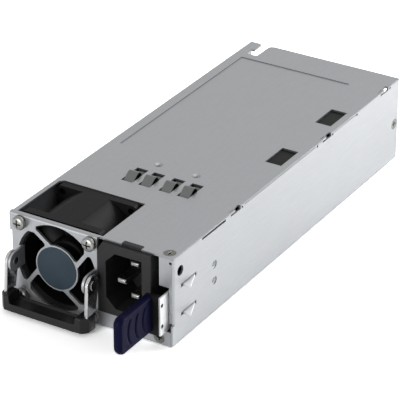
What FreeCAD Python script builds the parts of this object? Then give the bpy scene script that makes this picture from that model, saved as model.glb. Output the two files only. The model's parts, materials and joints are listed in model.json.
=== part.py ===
import FreeCAD, Part
import math
import os

Vector = FreeCAD.Vector

# Hot swap power supply for a server bay, all lengths in millimetres.
# X is across the front, Y runs from the front edge of the case to the rear, Z is up from the underside.
# The finished model is moved so that its origin is the middle of the underside.

# Case of two folded sheets: floor with right wall, and roof with left wall
case_width = 73.5
case_height = 38.0
case_length = 182.0
sheet = 0.8
fold_radius = 0.9
lid_edge_radius = 0.4
flange_width = 6.0
upstand_height = 8.0
side_setback = 4.4
seat_gap = 0.3
fit_gap = 0.05

# Axial fan, nearly as high as the case: its flanges stand in a window of the roof and of the floor
fan_side_gap = 1.95
fan_sink = 0.3
fan_size = case_height - 2 * fan_sink
fan_x = -case_width / 2 + sheet + fan_side_gap + fan_size / 2
fan_depth = 28.0
gasket_thickness = 2.5
gasket_inset = 0.9
fan_flange = 3.5
fan_corner_radius = 2.4
fan_bore = fan_size / 2 - 1.4
fan_barrel_radius = fan_size / 2 + 0.9
fan_screw_pitch = fan_size - 5.4
fan_plate_thickness = 1.8
fan_plate_floor = 0.8
blade_tip_gap = 0.5
blade_count = 7
blade_thickness = 0.9
blade_chord = 12.0
blade_tip_stretch = 1.35
blade_length = 15.0
blade_camber = 2.0
blade_lead = 1.5
blade_root_tilt = 40.0
blade_tip_tilt = 55.0
hub_radius = fan_size / 2 - 9.7
hub_wall = 0.8
hub_front_wall = 1.2
hub_nose_radius = 1.0
hub_front = gasket_thickness + 3.0
hub_length = 21.5
boss_radius = 2.4
boss_length = 5.0
strut_width = 2.2
strut_count = 4
strut_turn = 20.0
shaft_radius = 1.0
shaft_running_gap = 0.03
bearing_radius = 2.3
bearing_length = 3.0
bearing_tube_wall = 0.9
bearing_tube_length = 15.0
bearing_end_gap = 0.5
magnet_thickness = 0.6
magnet_length = 12.0
stator_air_gap = 0.4
stator_length = 9.0
stator_rear_gap = 1.0
stator_slot = 1.4
stator_yoke = 0.9
stator_poles = 4

# Front panel with the fan guard
panel_thickness = 1.0
panel_right = fan_x + fan_size / 2
panel_step_width = 1.0
panel_step_z = case_height - 8.0
panel_flange_depth = 1.0
lip_height = 6.3
ear_thickness = 1.0
ear_radius = 4.0
ear_root_width = 1.4
guard_radius = fan_bore + 0.9
guard_hub_radius = hub_radius + 0.65
spoke_width = 1.65
spoke_offset = 5.2
spoke_angle = 54.0
spoke_count = 4
guard_corner_radius = 1.2
guard_width_limit = fan_screw_pitch / 2 - 3.2
guard_height_limit = fan_screw_pitch / 2 - 3.2
label_radius = guard_hub_radius - 0.7
label_thickness = 0.3

# Right wall: front return, slits and holes
return_left = case_width / 2 - 6.45
return_bottom = 25.0
fold_strip_width = 2.15
lip_seam_top = 9.1
relief_radius = 0.6
relief_inset = 1.45
upper_relief_z = case_height - 2.4
side_hole_y = 4.6
side_hole_z = case_height - 7.0
side_hole_radius = 2.1
edge_slot = (20.3, 37.6)
edge_slot_height = 0.9
edge_seams = ((52.0, 108.0), (124.0, 143.0))
edge_seam_height = 0.25
edge_tabs = ((41.5, 48.7), (114.4, 121.5), (case_length - 17.0, case_length - 10.0))
edge_tab_share = 0.5
edge_tab_depth = 1.3
edge_tab_gap = 0.4
edge_tab_inset = 0.3
edge_dots = (50.0, 110.0, 122.8, 143.8, case_length - 8.4)
edge_dot_drop = 0.35
lid_flanges = ((sheet, 19.5), (case_length - 36.0, case_length - 19.0))
front_tab_half_width = 4.0
upstand_rear_gap = 4.0

# Roof openings and its shallow recess
fan_window_right = panel_right + 1.5
fan_window_left = -case_width / 2 + 2.55
fan_window_rear = gasket_thickness + fan_depth + 0.2
floor_window_gap = 0.2
fan_window_corner = 1.5
finger_starts = (-14.2, -6.3, 3.0, 11.4)
finger_window_width = 5.2
finger_window_front = 42.8
finger_window_rear = 54.8
film_window_left = case_width / 2 - 10.35
film_window_right = case_width / 2 - 3.05
film_windows = ((85.4, 99.5), (126.5, 140.8))
recess_left = -case_width / 2 + 5.05
recess_right = case_width / 2 - 15.55
recess_front = 69.0
recess_rear = case_length - 16.0
recess_depth = 0.35
hook_slot_left = -case_width / 2 + 6.25
hook_slot_right = -case_width / 2 + 10.25
hook_slot_front = case_length - 12.0
hook_notch_left = -case_width / 2 + 5.15
hook_notch_rear = case_length - 7.0
hook_corner_radius = 2.2
hook_inner_radius = 1.0
hook_tip_radius = 1.6

# Countersunk case screws
case_screw_head_radius = 2.5
case_screw_head_depth = 1.3
case_screw_radius = 1.5
case_screw_length = 5.0
case_screw_sink = 0.1
top_screw_x = case_width / 2 - 3.75
top_screw_y = 3.3
side_screw_inset = 3.1
side_screw_z = 17.5
front_screw_x = case_width / 2 - 6.15
front_screw_z = 2.8
cross_width = 0.6
cross_depth = 0.8
cross_reach = 0.62

# Fan screws with a spring washer and a flat washer each
fan_screw_radius = 1.45
fan_screw_head_radius = 2.9
fan_screw_head_height = 2.0
fan_screw_edge_radius = 0.9
fan_screw_hole_gap = 0.1
flat_washer_thickness = 0.4
spring_washer_thickness = 0.8
spring_washer_radius = 2.5
spring_washer_split = 0.5
washer_bore = 1.6

# Mains inlet, long side upright
inlet_right = case_width / 2 - 9.15
inlet_proud = 1.5
inlet_flange_depth = 3.0
inlet_body_depth = 22.0
inlet_body_inset = 1.2
inlet_body_lift = 1.0
inlet_edge_radius = 0.5
cavity_width = inlet_right - panel_right - 8.2
cavity_height = case_height - sheet - lip_height - 6.9
cavity_depth = 17.0
cavity_chamfer = 4.2
cavity_x = (panel_right + inlet_right) / 2 - 0.05
cavity_z = (lip_height + case_height - sheet) / 2 - 0.35
pin_width = 4.0
pin_thickness = 2.0
pin_tip_chamfer = 0.5
pin_pitch = cavity_height - 10.0
pin_line_offset = 2.0
earth_offset = 4.0
earth_extra = 3.0
pin_recess = 4.5
pin_tail = 3.5
clip_left = cavity_x - 1.65
clip_right = cavity_x + 7.15
clip_root = 2.0
clip_gap = 0.1
clip_depth = 2.3
clip_proud = 0.25
inlet_corner_width = 2.7
inlet_corner_height = 3.8

# Swinging handle
handle_left = -case_width / 2 + 3.15
handle_right = panel_right + 1.4
strap_thickness = 1.5
strap_foot_front = -11.0
strap_foot_rear = -4.7
pivot_y = -6.0
pivot_z = case_height / 2 + 1.2
strap_end_radius = 4.0
handle_pin_radius = 1.6
handle_pin_gap = 0.05
handle_pin_head_radius = 2.2
handle_pin_head = 0.3
grip_front = -12.9
grip_depth = 7.5
grip_bottom = 1.2
grip_height = 3.6
grip_end_height = 6.8
grip_end_width = 4.6
grip_left = handle_left - 1.4
grip_right = handle_right + 0.4
grip_floor = 0.7
grip_corner = 2.4
grip_rim_radius = 0.5
trough_depth = 1.0
trough_lip = 1.5
strap_bar_inset = 1.6
handle_pin_side_gap = 0.1

# Side latch: a sprung steel leaf with two locking fins and a plastic release tab
leaf_thickness = 0.7
leaf_wall_gap = 1.65
leaf_front = -5.7
leaf_nose_bottom = 6.8
leaf_nose_top = 23.2
leaf_nose_rear = 4.0
leaf_bottom = 11.5
leaf_top = 24.5
leaf_waist = 1.5
leaf_waist_front = 16.4
latch_pivot_y = 24.0
fin_front = 6.4
fin_rear = 15.6
fin_reach = 3.5
fin_thickness = 0.7
slit_clearance = 0.4
slit_front_clearance = 1.3
leaf_foot_front = 27.0
leaf_foot_rear = 34.0
leaf_rivet_y = 29.2
leaf_rivet_pitch = 7.05
leaf_rivet_radius = 1.65
leaf_rivet_bore = 1.25
leaf_rivet_sink = 0.4
leaf_rivet_head = 0.6
leaf_rivet_head_extra = 0.4
leaf_rivet_hollow = 1.2
leaf_root_step = 1.2
leaf_root_slant = 0.2
leaf_nose_overlap = 2.0
fin_root_lead = 0.6
carrier_front = -6.0
carrier_thickness = 1.8
carrier_block_depth = 2.6
carrier_block_left = case_width / 2 - 5.75
tab_left = case_width / 2 - 9.55
tab_thickness = 3.8
tab_length = 21.7
tab_bottom = 7.7
tab_top = 23.6
tab_corner_radius = 3.0
tab_edge_radius = 0.9
tongue_length = 8.0
tongue_thickness = 1.4
tongue_margin = 3.6
groove_radius = 9.5
groove_width = 1.1
groove_depth = 0.6
groove_span = 11.7
groove_pitch = 5.3
groove_count = 3
groove_lead = 5.0
stake_radius = 0.8
stake_pitch = 9.0
stake_end_gap = 0.1
stake_offset = 0.3

# Grounding spring under the roof
finger_width = 4.4
finger_rise = 2.1
finger_toe_depth = 1.3
finger_toe_length = 0.3
finger_lead = 0.8
finger_crest = 6.2
finger_crest_radius = 2.6
finger_crest_steps = 7
finger_crest_step = 10.0
strip_thickness = 0.3
strip_front = 56.0
strip_rear = 65.0
strip_margin = 1.2
strip_rivets = ((-8.2, 61.0), (9.5, 60.7))
strip_rivet_radius = 0.9
strip_rivet_head = 0.5
strip_rivet_head_extra = 0.6
strip_rivet_rise = 0.2
roof_dimple_radius = 1.8

# Insulating film under the roof and down the right wall
film_thickness = 0.3
film_left = case_width / 2 - 14.15
film_front = 60.0
film_rear = case_length - 15.0
film_board_gap = 3.0

# Rear panel, set back from the rear edge
rear_panel_y = case_length - 13.0
vent_radius = 2.2
vent_pitch = 5.6
vent_row_share = 0.866
vent_margin = 4.0
vent_floor = 10.5
tongue_slot_gap = 0.9
rear_flange_length = 12.0
rear_flange_bottom = 5.0
rear_flange_top = 30.0
rear_left_flange_length = 5.0

# Circuit board and its card edge
board_thickness = 1.6
board_height = 4.0
board_front = 33.0
board_side_gap = 1.6
board_rear_gap = 0.6
card_width = 49.2
card_reach = 3.0
key_width = 1.9
key_depth = 8.0
key_x = -7.6
finger_pad_width = 1.4
finger_pad_length = 9.0
finger_pad_pitch = 1.92
finger_pad_count = 25
finger_pad_thickness = 0.1
pad_inset = 0.8
standoff_radius = 2.6
board_screw_head_radius = 2.4
board_screw_head = 1.8
board_screw_radius = 1.25
standoff_x = case_width / 2 - 5.25
standoff_y = (37.5, rear_panel_y - 5.0)
board_screw_hole_gap = 0.1
board_screw_end_gap = 0.4
board_screw_edge_radius = 0.6
card_edge_chamfer = 0.4


def block(x0, x1, y0, y1, z0, z1):
    # Block between two corners
    return Part.makeBox(x1 - x0, y1 - y0, z1 - z0, Vector(x0, y0, z0))


def rod(radius, start, end):
    # Round bar between two points
    start = Vector(*start)
    axis = Vector(*end) - start
    return Part.makeCylinder(radius, axis.Length, start, axis)


def tube(outer, inner, start, end):
    # Round bar with a bore right through
    return rod(outer, start, end).cut(rod(inner, start, end))


def prism(points, move):
    # Flat outline carried along a straight move
    wire = Part.makePolygon([Vector(*p) for p in points] + [Vector(*points[0])])
    return Part.Face(wire).extrude(Vector(*move))


def joined(shapes):
    # Several touching shapes as one solid with no split faces
    whole = shapes[0].multiFuse(shapes[1:]) if len(shapes) > 1 else shapes[0]
    return whole.removeSplitter()


def edges_at(shape, **places):
    # Edges that lie wholly at the given x, y or z
    found = []
    for edge in shape.Edges:
        bounds = edge.BoundBox
        lows = {"x": bounds.XMin, "y": bounds.YMin, "z": bounds.ZMin}
        highs = {"x": bounds.XMax, "y": bounds.YMax, "z": bounds.ZMax}
        near = [abs(lows[k] - v) < 0.01 and abs(highs[k] - v) < 0.01 for k, v in places.items()]
        if all(near):
            found.append(edge)
    return found


def edges_along(shape, axis):
    # Straight edges parallel to one axis
    lengths = {"x": "XLength", "y": "YLength", "z": "ZLength"}
    others = [name for key, name in lengths.items() if key != axis]
    return [e for e in shape.Edges if all(getattr(e.BoundBox, n) < 0.01 for n in others)]


def cross_recess(centre, axis, radius):
    # Cross shaped driver recess, cut along the axis from the head's face
    half = cross_width / 2
    reach = radius * cross_reach
    x, y, z = centre
    deep = cross_depth
    if axis == "y":
        first = block(x - reach, x + reach, y, y + deep, z - half, z + half)
        second = block(x - half, x + half, y, y + deep, z - reach, z + reach)
    elif axis == "x":
        first = block(x - deep, x, y - reach, y + reach, z - half, z + half)
        second = block(x - deep, x, y - half, y + half, z - reach, z + reach)
    else:
        first = block(x - reach, x + reach, y - half, y + half, z - deep, z)
        second = block(x - half, x + half, y - reach, y + reach, z - deep, z)
    return first.fuse(second)


# Places worked out from the driving sizes
half_width = case_width / 2
wall_inside = half_width - sheet
roof_under = case_height - sheet
panel_front = -panel_thickness
fan_z = case_height / 2
fan_front = gasket_thickness
fan_rear = fan_front + fan_depth
plate_front = fan_rear - fan_plate_thickness
side_screw_y = case_length - side_screw_inset
leaf_right = wall_inside - leaf_wall_gap
leaf_left = leaf_right - leaf_thickness
fin_tip = half_width + fin_reach
board_top = board_height + board_thickness
film_under = roof_under - film_thickness


def countersink(centre, direction):
    # Screw hole with its cone, seen from outside; direction points into the case
    into = Vector(*direction)
    centre = Vector(*centre)
    cone = Part.makeCone(case_screw_head_radius + fit_gap, case_screw_radius + fit_gap,
                         case_screw_head_depth, centre, into)
    hole = Part.makeCylinder(case_screw_radius + fit_gap, case_screw_length, centre, into)
    return cone.fuse(hole)


def countersunk_screw(centre, direction, axis):
    # Flat headed screw seated in its countersink, its face just below the sheet
    into = Vector(*direction)
    start = Vector(*centre) + into * case_screw_sink
    head = Part.makeCone(case_screw_head_radius - case_screw_sink, case_screw_radius,
                         case_screw_head_depth - case_screw_sink, start, into)
    shank = Part.makeCylinder(case_screw_radius, case_screw_length - case_screw_sink, start, into)
    screw = joined([head, shank])
    return screw.cut(cross_recess(tuple(start), axis, case_screw_head_radius))


def make_chassis_base():
    # Floor and right wall folded from one sheet, with the front return and the lid flanges
    floor = block(-wall_inside, half_width, 0, case_length, 0, sheet)
    low_wall = block(wall_inside, half_width, 0, case_length, 0, lip_seam_top)
    nose = block(wall_inside, half_width, panel_front, 0, 0, lip_seam_top)
    folded = joined([floor, low_wall, nose])
    folded = folded.makeFillet(fold_radius, edges_at(folded, x=half_width, z=0))
    high_wall = block(wall_inside, half_width, 0, case_length, lip_seam_top, roof_under)
    wide = block(return_left, half_width, 0, sheet, return_bottom, roof_under)
    narrow = block(half_width - fold_strip_width, half_width, 0, sheet, lip_seam_top, return_bottom)
    corner = joined([high_wall, wide, narrow])
    corner = corner.makeFillet(fold_radius, edges_at(corner, x=half_width, y=0))
    folded = joined([folded, corner])
    for front, rear in lid_flanges:
        lug = block(half_width - flange_width - sheet, half_width - sheet / 2, front, rear,
                    roof_under - sheet, roof_under)
        folded = folded.fuse(lug)
    screw_tab = block(front_screw_x - front_tab_half_width, leaf_left - seat_gap, 0, sheet, 0,
                      lip_height - seat_gap)
    upstand = block(-wall_inside, -wall_inside + sheet, board_front, rear_panel_y - upstand_rear_gap, 0,
                    upstand_height)
    folded = joined([folded, screw_tab, upstand])
    for cut in base_cuts():
        folded = folded.cut(cut)
    return folded.removeSplitter()


def base_cuts():
    # Everything that is punched out of the floor and the right wall
    out = half_width + 1
    inside = wall_inside - 1
    relief_x = half_width - relief_inset
    cuts = []
    for z in (upper_relief_z, lip_seam_top):
        cuts.append(rod(relief_radius, (relief_x, -1, z), (relief_x, sheet + 0.2, z)))
    fan_half = fan_size / 2 + floor_window_gap
    cuts.append(block(fan_x - fan_half, fan_x + fan_half, fan_front - floor_window_gap,
                      fan_rear + floor_window_gap, -1, sheet + 1))
    cuts.append(rod(side_hole_radius, (inside, side_hole_y, side_hole_z), (out, side_hole_y, side_hole_z)))
    for z in leaf_rivet_heights():
        cuts.append(rod(leaf_rivet_radius + fit_gap, (inside, leaf_rivet_y, z), (out, leaf_rivet_y, z)))
    for low in fin_bottoms():
        cuts.append(block(inside, out, fin_front - slit_front_clearance, fin_rear + slit_clearance,
                          low - slit_clearance, low + fin_thickness + slit_clearance))
    cuts.append(block(inside, out, edge_slot[0], edge_slot[1], roof_under - edge_slot_height,
                      roof_under + 1))
    for front, rear in edge_seams:
        cuts.append(block(inside, out, front, rear, roof_under - edge_seam_height, roof_under + 1))
    for front, rear in edge_tabs:
        cuts.append(block(inside, out, front, rear, roof_under - sheet, roof_under + 1))
    for y in edge_dots:
        cuts.append(rod(relief_radius, (inside, y, roof_under - edge_dot_drop),
                        (out, y, roof_under - edge_dot_drop)))
    cuts.append(countersink((top_screw_x, top_screw_y, case_height), (0, 0, -1)))
    cuts.append(countersink((front_screw_x, panel_front, front_screw_z), (0, 1, 0)))
    cuts.append(countersink((half_width, side_screw_y, side_screw_z), (-1, 0, 0)))
    return cuts


def fin_bottoms():
    # The two locking fins are the leaf's top and bottom edges, folded outwards
    return (leaf_bottom, leaf_top - fin_thickness)


def leaf_rivet_heights():
    middle = (leaf_bottom + leaf_top) / 2
    return (middle - leaf_rivet_pitch / 2, middle + leaf_rivet_pitch / 2)


def make_top_cover():
    # Roof and left wall folded from one sheet
    roof = block(-half_width, half_width, 0, case_length, roof_under, case_height)
    wall = block(-half_width, -wall_inside, 0, case_length, 0, case_height)
    cover = joined([roof, wall])
    cover = cover.makeFillet(fold_radius, edges_at(cover, x=-half_width, z=case_height))
    cover = cover.makeFillet(lid_edge_radius, edges_at(cover, x=half_width, z=case_height))
    rim = recess_depth
    pan = block(recess_left - rim, recess_right + rim, recess_front - rim, recess_rear + rim,
                roof_under - recess_depth, roof_under)
    cover = joined([cover, pan])
    for cut in cover_cuts():
        cover = cover.cut(cut)
    for front, rear in edge_tabs:
        tab_rear = front + (rear - front) * edge_tab_share
        tab = block(half_width - edge_tab_depth - edge_tab_inset, half_width - edge_tab_inset,
                    front + edge_tab_gap, tab_rear, roof_under - sheet / 2, case_height - edge_tab_inset)
        cover = joined([cover, tab])
    return cover.removeSplitter()


def cover_cuts():
    # Everything that is punched out of the roof and the left wall
    low = roof_under - 1
    high = case_height + 1
    front_slot = block(-half_width - 1, panel_right + fit_gap, -1, panel_flange_depth + fit_gap,
                       roof_under, high)
    side_notch = block(-half_width - 1, -wall_inside + 0.1, -1, side_setback, sheet * 2, panel_step_z)
    window = block(fan_window_left, fan_window_right, panel_flange_depth, fan_window_rear, low, high)
    window = window.makeChamfer(fan_window_corner,
                                edges_at(window, x=fan_window_left, y=fan_window_rear))
    cuts = [front_slot, side_notch, window]
    for x in finger_starts:
        cuts.append(block(x, x + finger_window_width, finger_window_front, finger_window_rear, low, high))
    for front, rear in film_windows:
        cuts.append(block(film_window_left, film_window_right, front, rear, low, high))
    for x, y in strip_rivets:
        cuts.append(Part.makeCone(strip_rivet_radius, roof_dimple_radius, sheet,
                                  Vector(x, y, roof_under), Vector(0, 0, 1)))
    cuts.append(block(recess_left, recess_right, recess_front, recess_rear, case_height - recess_depth, high))
    cuts.append(block(clip_left, clip_right, -1, clip_depth, low, high))
    for front, rear in edge_tabs:
        cuts.append(block(half_width - edge_tab_depth, half_width + 1, front, rear, low, high))
    cuts.append(countersink((top_screw_x, top_screw_y, case_height), (0, 0, -1)))
    cuts.append(hook_cut(low, high))
    return cuts


def hook_cut(low, high):
    # Slot at the rear left that leaves a hook beside the roof's corner
    slot = block(hook_slot_left, hook_slot_right, hook_slot_front, case_length + 1, low, high)
    notch = block(hook_notch_left, hook_slot_left + 1, hook_slot_front, hook_notch_rear, low, high)
    slot = joined([slot, notch])
    inner = edges_at(slot, x=hook_slot_right, y=hook_slot_front)
    inner += edges_at(slot, x=hook_notch_left, y=hook_slot_front)
    slot = slot.makeFillet(hook_inner_radius, inner)
    r = hook_corner_radius
    x, y = hook_slot_right, case_length
    corner = block(x - 0.1, x + r, y - r, y + 1, low, high)
    corner = corner.cut(rod(r, (x + r, y - r, low), (x + r, y - r, high)))
    tip_r = hook_tip_radius
    x = hook_slot_left
    tip = block(x - tip_r, x + 0.1, y - tip_r, y + 1, low, high)
    tip = tip.cut(rod(tip_r, (x - tip_r, y - tip_r, low), (x - tip_r, y - tip_r, high)))
    return slot.fuse(corner).fuse(tip)


def guard_openings():
    # Four openings between the hub and the rim; each spoke runs past the hub at a tangent
    y0, y1 = panel_front - 1, 1
    ring = tube(guard_radius, guard_hub_radius, (fan_x, y0, fan_z), (fan_x, y1, fan_z))
    for i in range(spoke_count):
        spoke = block(0, guard_radius + 1, y0, y1, -spoke_offset - spoke_width / 2,
                      -spoke_offset + spoke_width / 2)
        spoke.rotate(Vector(0, 0, 0), Vector(0, -1, 0), spoke_angle + i * 360 / spoke_count)
        spoke.translate(Vector(fan_x, 0, fan_z))
        ring = ring.cut(spoke)
    rounded = []
    for solid in ring.Solids:
        across = abs(solid.CenterOfMass.x - fan_x) > abs(solid.CenterOfMass.z - fan_z)
        reach_x = guard_radius + 1 if across else guard_width_limit
        reach_z = guard_height_limit if across else guard_radius + 1
        window = block(fan_x - reach_x, fan_x + reach_x, y0, y1, fan_z - reach_z, fan_z + reach_z)
        limited = solid.common(window)
        rounded.append(limited.makeFillet(guard_corner_radius, edges_along(limited, "y")))
    return rounded


def fan_screw_places():
    h = fan_screw_pitch / 2
    return [(fan_x + sx * h, fan_z + sz * h) for sx in (-1, 1) for sz in (-1, 1)]


def strap_lefts():
    # Left face of each handle arm
    return (handle_left, handle_right - strap_thickness)


def ear_lefts():
    # Each ear stands just inside its arm
    left_arm, right_arm = strap_lefts()
    return (left_arm + strap_thickness + seat_gap, right_arm - seat_gap - ear_thickness)


def make_front_panel():
    # Fan guard plate with its top flange, the lip under the inlet and two ears for the handle
    plate = block(-half_width + panel_step_width, panel_right, panel_front, 0, 0, case_height)
    shoulder = block(-half_width, fan_x, panel_front, 0, panel_step_z, case_height)
    flange = block(-half_width, panel_right, panel_front, panel_flange_depth, roof_under, case_height)
    lip = block(fan_x, wall_inside - fit_gap * 3, panel_front, 0, 0, lip_height)
    panel = joined([plate, shoulder, flange, lip])
    panel = panel.makeFillet(fold_radius, edges_at(panel, y=panel_front, z=case_height))
    for opening in guard_openings():
        panel = panel.cut(opening)
    for x, z in fan_screw_places():
        panel = panel.cut(rod(fan_screw_radius + fan_screw_hole_gap, (x, -2, z), (x, 1, z)))
    panel = panel.cut(countersink((front_screw_x, panel_front, front_screw_z), (0, 1, 0)))
    low, high = pivot_z - ear_radius, pivot_z + ear_radius
    left_ear, right_ear = ear_lefts()
    for x, root_left in ((left_ear, left_ear - ear_root_width), (right_ear, right_ear)):
        root = block(root_left, x + ear_thickness, panel_front, 0, low, high)
        arm = block(x, x + ear_thickness, pivot_y, panel_front, low, high)
        end = rod(ear_radius, (x, pivot_y, pivot_z), (x + ear_thickness, pivot_y, pivot_z))
        panel = joined([panel, root, arm, end])
        panel = panel.cut(rod(handle_pin_radius, (x - 1, pivot_y, pivot_z),
                              (x + ear_thickness + 1, pivot_y, pivot_z)))
    return panel


def make_handle_pins():
    # One headed pin per arm, fixed in the ear; the arm turns on it
    pins = []
    for arm, ear, out in ((strap_lefts()[0], ear_lefts()[0], -1), (strap_lefts()[1], ear_lefts()[1], 1)):
        outer_face = arm if out < 0 else arm + strap_thickness
        inner_face = ear + ear_thickness if out < 0 else ear
        head_start = outer_face + out * handle_pin_side_gap
        head_end = head_start + out * handle_pin_head
        shank = rod(handle_pin_radius, (inner_face, pivot_y, pivot_z), (head_start, pivot_y, pivot_z))
        head = rod(handle_pin_head_radius, (head_start, pivot_y, pivot_z), (head_end, pivot_y, pivot_z))
        pins.append(joined([shank, head]))
    return Part.makeCompound(pins)


def make_label_disc():
    # Bare slate disc on the guard's hub
    return rod(label_radius, (fan_x, panel_front - label_thickness, fan_z), (fan_x, panel_front, fan_z))


def make_fan_gasket():
    # Foam ring between the panel and the fan, under the panel's top flange
    half = fan_size / 2 - gasket_inset
    rear = gasket_thickness
    ring = block(fan_x - half, fan_x + half, 0, rear, fan_z - half, fan_z + half)
    ring = ring.cut(rod(fan_bore + 0.2, (fan_x, -1, fan_z), (fan_x, rear + 1, fan_z)))
    for x, z in fan_screw_places():
        ring = ring.cut(rod(fan_screw_radius + fan_screw_hole_gap, (x, -1, z), (x, rear + 1, z)))
    return ring


def make_fan_frame():
    # Two square flanges, the clipped barrel, the rear hub plate on struts and the bearing tube
    half = fan_size / 2
    square = block(fan_x - half, fan_x + half, fan_front, fan_rear, fan_z - half, fan_z + half)
    square = square.makeFillet(fan_corner_radius, edges_along(square, "y"))
    middle = block(fan_x - half - 1, fan_x + half + 1, fan_front + fan_flange, fan_rear - fan_flange,
                   fan_z - half - 1, fan_z + half + 1)
    barrel = rod(fan_barrel_radius, (fan_x, fan_front, fan_z), (fan_x, fan_rear, fan_z))
    frame = square.cut(middle.cut(barrel))
    frame = frame.cut(rod(fan_bore, (fan_x, 0, fan_z), (fan_x, fan_rear + 1, fan_z)))
    plate = rod(hub_radius, (fan_x, plate_front, fan_z), (fan_x, fan_rear, fan_z))
    pieces = [frame, plate]
    for i in range(strut_count):
        strut = block(hub_radius - 1, fan_bore + 0.5, plate_front, fan_rear, -strut_width / 2,
                      strut_width / 2)
        strut.rotate(Vector(0, 0, 0), Vector(0, 1, 0), strut_turn + i * 360 / strut_count)
        strut.translate(Vector(fan_x, 0, fan_z))
        pieces.append(strut)
    tube_wall = bearing_radius + bearing_tube_wall
    pieces.append(rod(tube_wall, (fan_x, plate_front - bearing_tube_length, fan_z),
                      (fan_x, plate_front, fan_z)))
    frame = joined(pieces)
    frame = frame.cut(rod(bearing_radius, (fan_x, plate_front - bearing_tube_length - 1, fan_z),
                          (fan_x, fan_rear - fan_plate_floor, fan_z)))
    for x, z in fan_screw_places():
        frame = frame.cut(rod(fan_screw_radius + fit_gap, (x, 0, z), (x, fan_rear + 1, z)))
    return frame.removeSplitter()


def bearing_starts():
    first = plate_front - bearing_tube_length + bearing_end_gap
    return (first, plate_front - bearing_length - bearing_end_gap)


def make_fan_bearings():
    # Two ball bearings in the tube
    bore = shaft_radius + shaft_running_gap
    rings = [tube(bearing_radius, bore, (fan_x, y, fan_z), (fan_x, y + bearing_length, fan_z))
             for y in bearing_starts()]
    return Part.makeCompound(rings)


def make_fan_stator():
    # Wound core on the bearing tube, with four slots between its poles
    outer = hub_radius - hub_wall - magnet_thickness - stator_air_gap
    inner = bearing_radius + bearing_tube_wall
    y0 = plate_front - stator_length - stator_rear_gap
    core = tube(outer, inner, (fan_x, y0, fan_z), (fan_x, y0 + stator_length, fan_z))
    for i in range(stator_poles):
        slot = block(inner + stator_yoke, outer + 1, y0 - 1, y0 + stator_length + 1, -stator_slot / 2,
                     stator_slot / 2)
        slot.rotate(Vector(0, 0, 0), Vector(0, 1, 0), (i + 0.5) * 360 / stator_poles)
        slot.translate(Vector(fan_x, 0, fan_z))
        core = core.cut(slot)
    return core


def blade_section(distance, chord, tilt):
    # Cambered strip in the plane that lies this far from the fan's axis
    steps = 6
    upper, lower = [], []
    for i in range(steps + 1):
        t = i / steps - 0.5
        bulge = blade_camber * (1 - 4 * t * t)
        along = t * chord
        s = along * math.sin(tilt) + bulge * math.cos(tilt)
        y = along * math.cos(tilt) - bulge * math.sin(tilt)
        ds = blade_thickness / 2 * math.cos(tilt)
        dy = -blade_thickness / 2 * math.sin(tilt)
        upper.append(Vector(s + ds, y + dy, distance))
        lower.append(Vector(s - ds, y - dy, distance))
    points = upper + lower[::-1]
    return Part.makePolygon(points + [points[0]])


def make_fan_impeller():
    # Hub cup with a shaft boss and seven twisted blades
    cup_front = hub_front
    cup_rear = hub_front + hub_length
    tip = fan_bore - blade_tip_gap
    root = blade_section(hub_radius * 0.6, blade_chord, math.radians(blade_root_tilt))
    end = blade_section(tip + 1.5, blade_chord * blade_tip_stretch, math.radians(blade_tip_tilt))
    blade = Part.makeLoft([root, end], True, True)
    blade.translate(Vector(0, cup_front + blade_lead + blade_length / 2, 0))
    y_low, y_high = cup_front - 2, cup_rear + 2
    blade = blade.common(tube(tip, hub_radius - hub_wall / 2, (0, y_low, 0), (0, y_high, 0)))
    hub = rod(hub_radius, (0, cup_front, 0), (0, cup_rear, 0))
    hub = hub.makeFillet(hub_nose_radius, edges_at(hub, y=cup_front))
    hub = hub.cut(rod(hub_radius - hub_wall, (0, cup_front + hub_front_wall, 0), (0, cup_rear + 1, 0)))
    boss = rod(boss_radius, (0, cup_front + hub_front_wall / 2, 0), (0, cup_front + boss_length, 0))
    pieces = [hub, boss]
    for i in range(blade_count):
        turned = blade.copy()
        turned.rotate(Vector(0, 0, 0), Vector(0, 1, 0), i * 360 / blade_count)
        pieces.append(turned)
    whole = joined(pieces)
    whole = whole.cut(rod(shaft_radius, (0, cup_front + hub_front_wall, 0),
                          (0, cup_front + boss_length + 1, 0)))
    whole.translate(Vector(fan_x, 0, fan_z))
    return whole


def make_fan_shaft():
    # Steel shaft, fixed in the hub's boss and running in the bearings
    return rod(shaft_radius, (fan_x, hub_front + hub_front_wall, fan_z), (fan_x, plate_front + 0.6, fan_z))


def make_fan_magnet():
    # Ring magnet lining the hub cup
    outer = hub_radius - hub_wall
    y1 = hub_front + hub_length
    return tube(outer, outer - magnet_thickness, (fan_x, y1 - magnet_length, fan_z), (fan_x, y1, fan_z))


def make_fan_screws():
    # Pan head screws; each head stands on a spring washer and a flat washer
    screws = []
    seat = panel_front - flat_washer_thickness - spring_washer_thickness
    for x, z in fan_screw_places():
        head = rod(fan_screw_head_radius, (x, seat - fan_screw_head_height, z), (x, seat, z))
        head = head.makeFillet(fan_screw_edge_radius, edges_at(head, y=seat - fan_screw_head_height))
        shank = rod(fan_screw_radius, (x, seat, z), (x, fan_front + fan_flange, z))
        screw = joined([head, shank])
        face = (x, seat - fan_screw_head_height, z)
        screws.append(screw.cut(cross_recess(face, "y", fan_screw_head_radius)))
    return Part.makeCompound(screws)


def make_fan_washers():
    # A flat washer against the panel and a split spring washer on it, at each fan screw
    washers = []
    flat_front = panel_front - flat_washer_thickness
    spring_front = flat_front - spring_washer_thickness
    for x, z in fan_screw_places():
        washers.append(tube(fan_screw_head_radius, washer_bore, (x, flat_front, z), (x, panel_front, z)))
        spring = tube(spring_washer_radius, washer_bore, (x, spring_front, z), (x, flat_front, z))
        split = block(x, x + 4, spring_front - 1, flat_front + 0.01, z, z + spring_washer_split)
        washers.append(spring.cut(split))
    return Part.makeCompound(washers)


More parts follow.
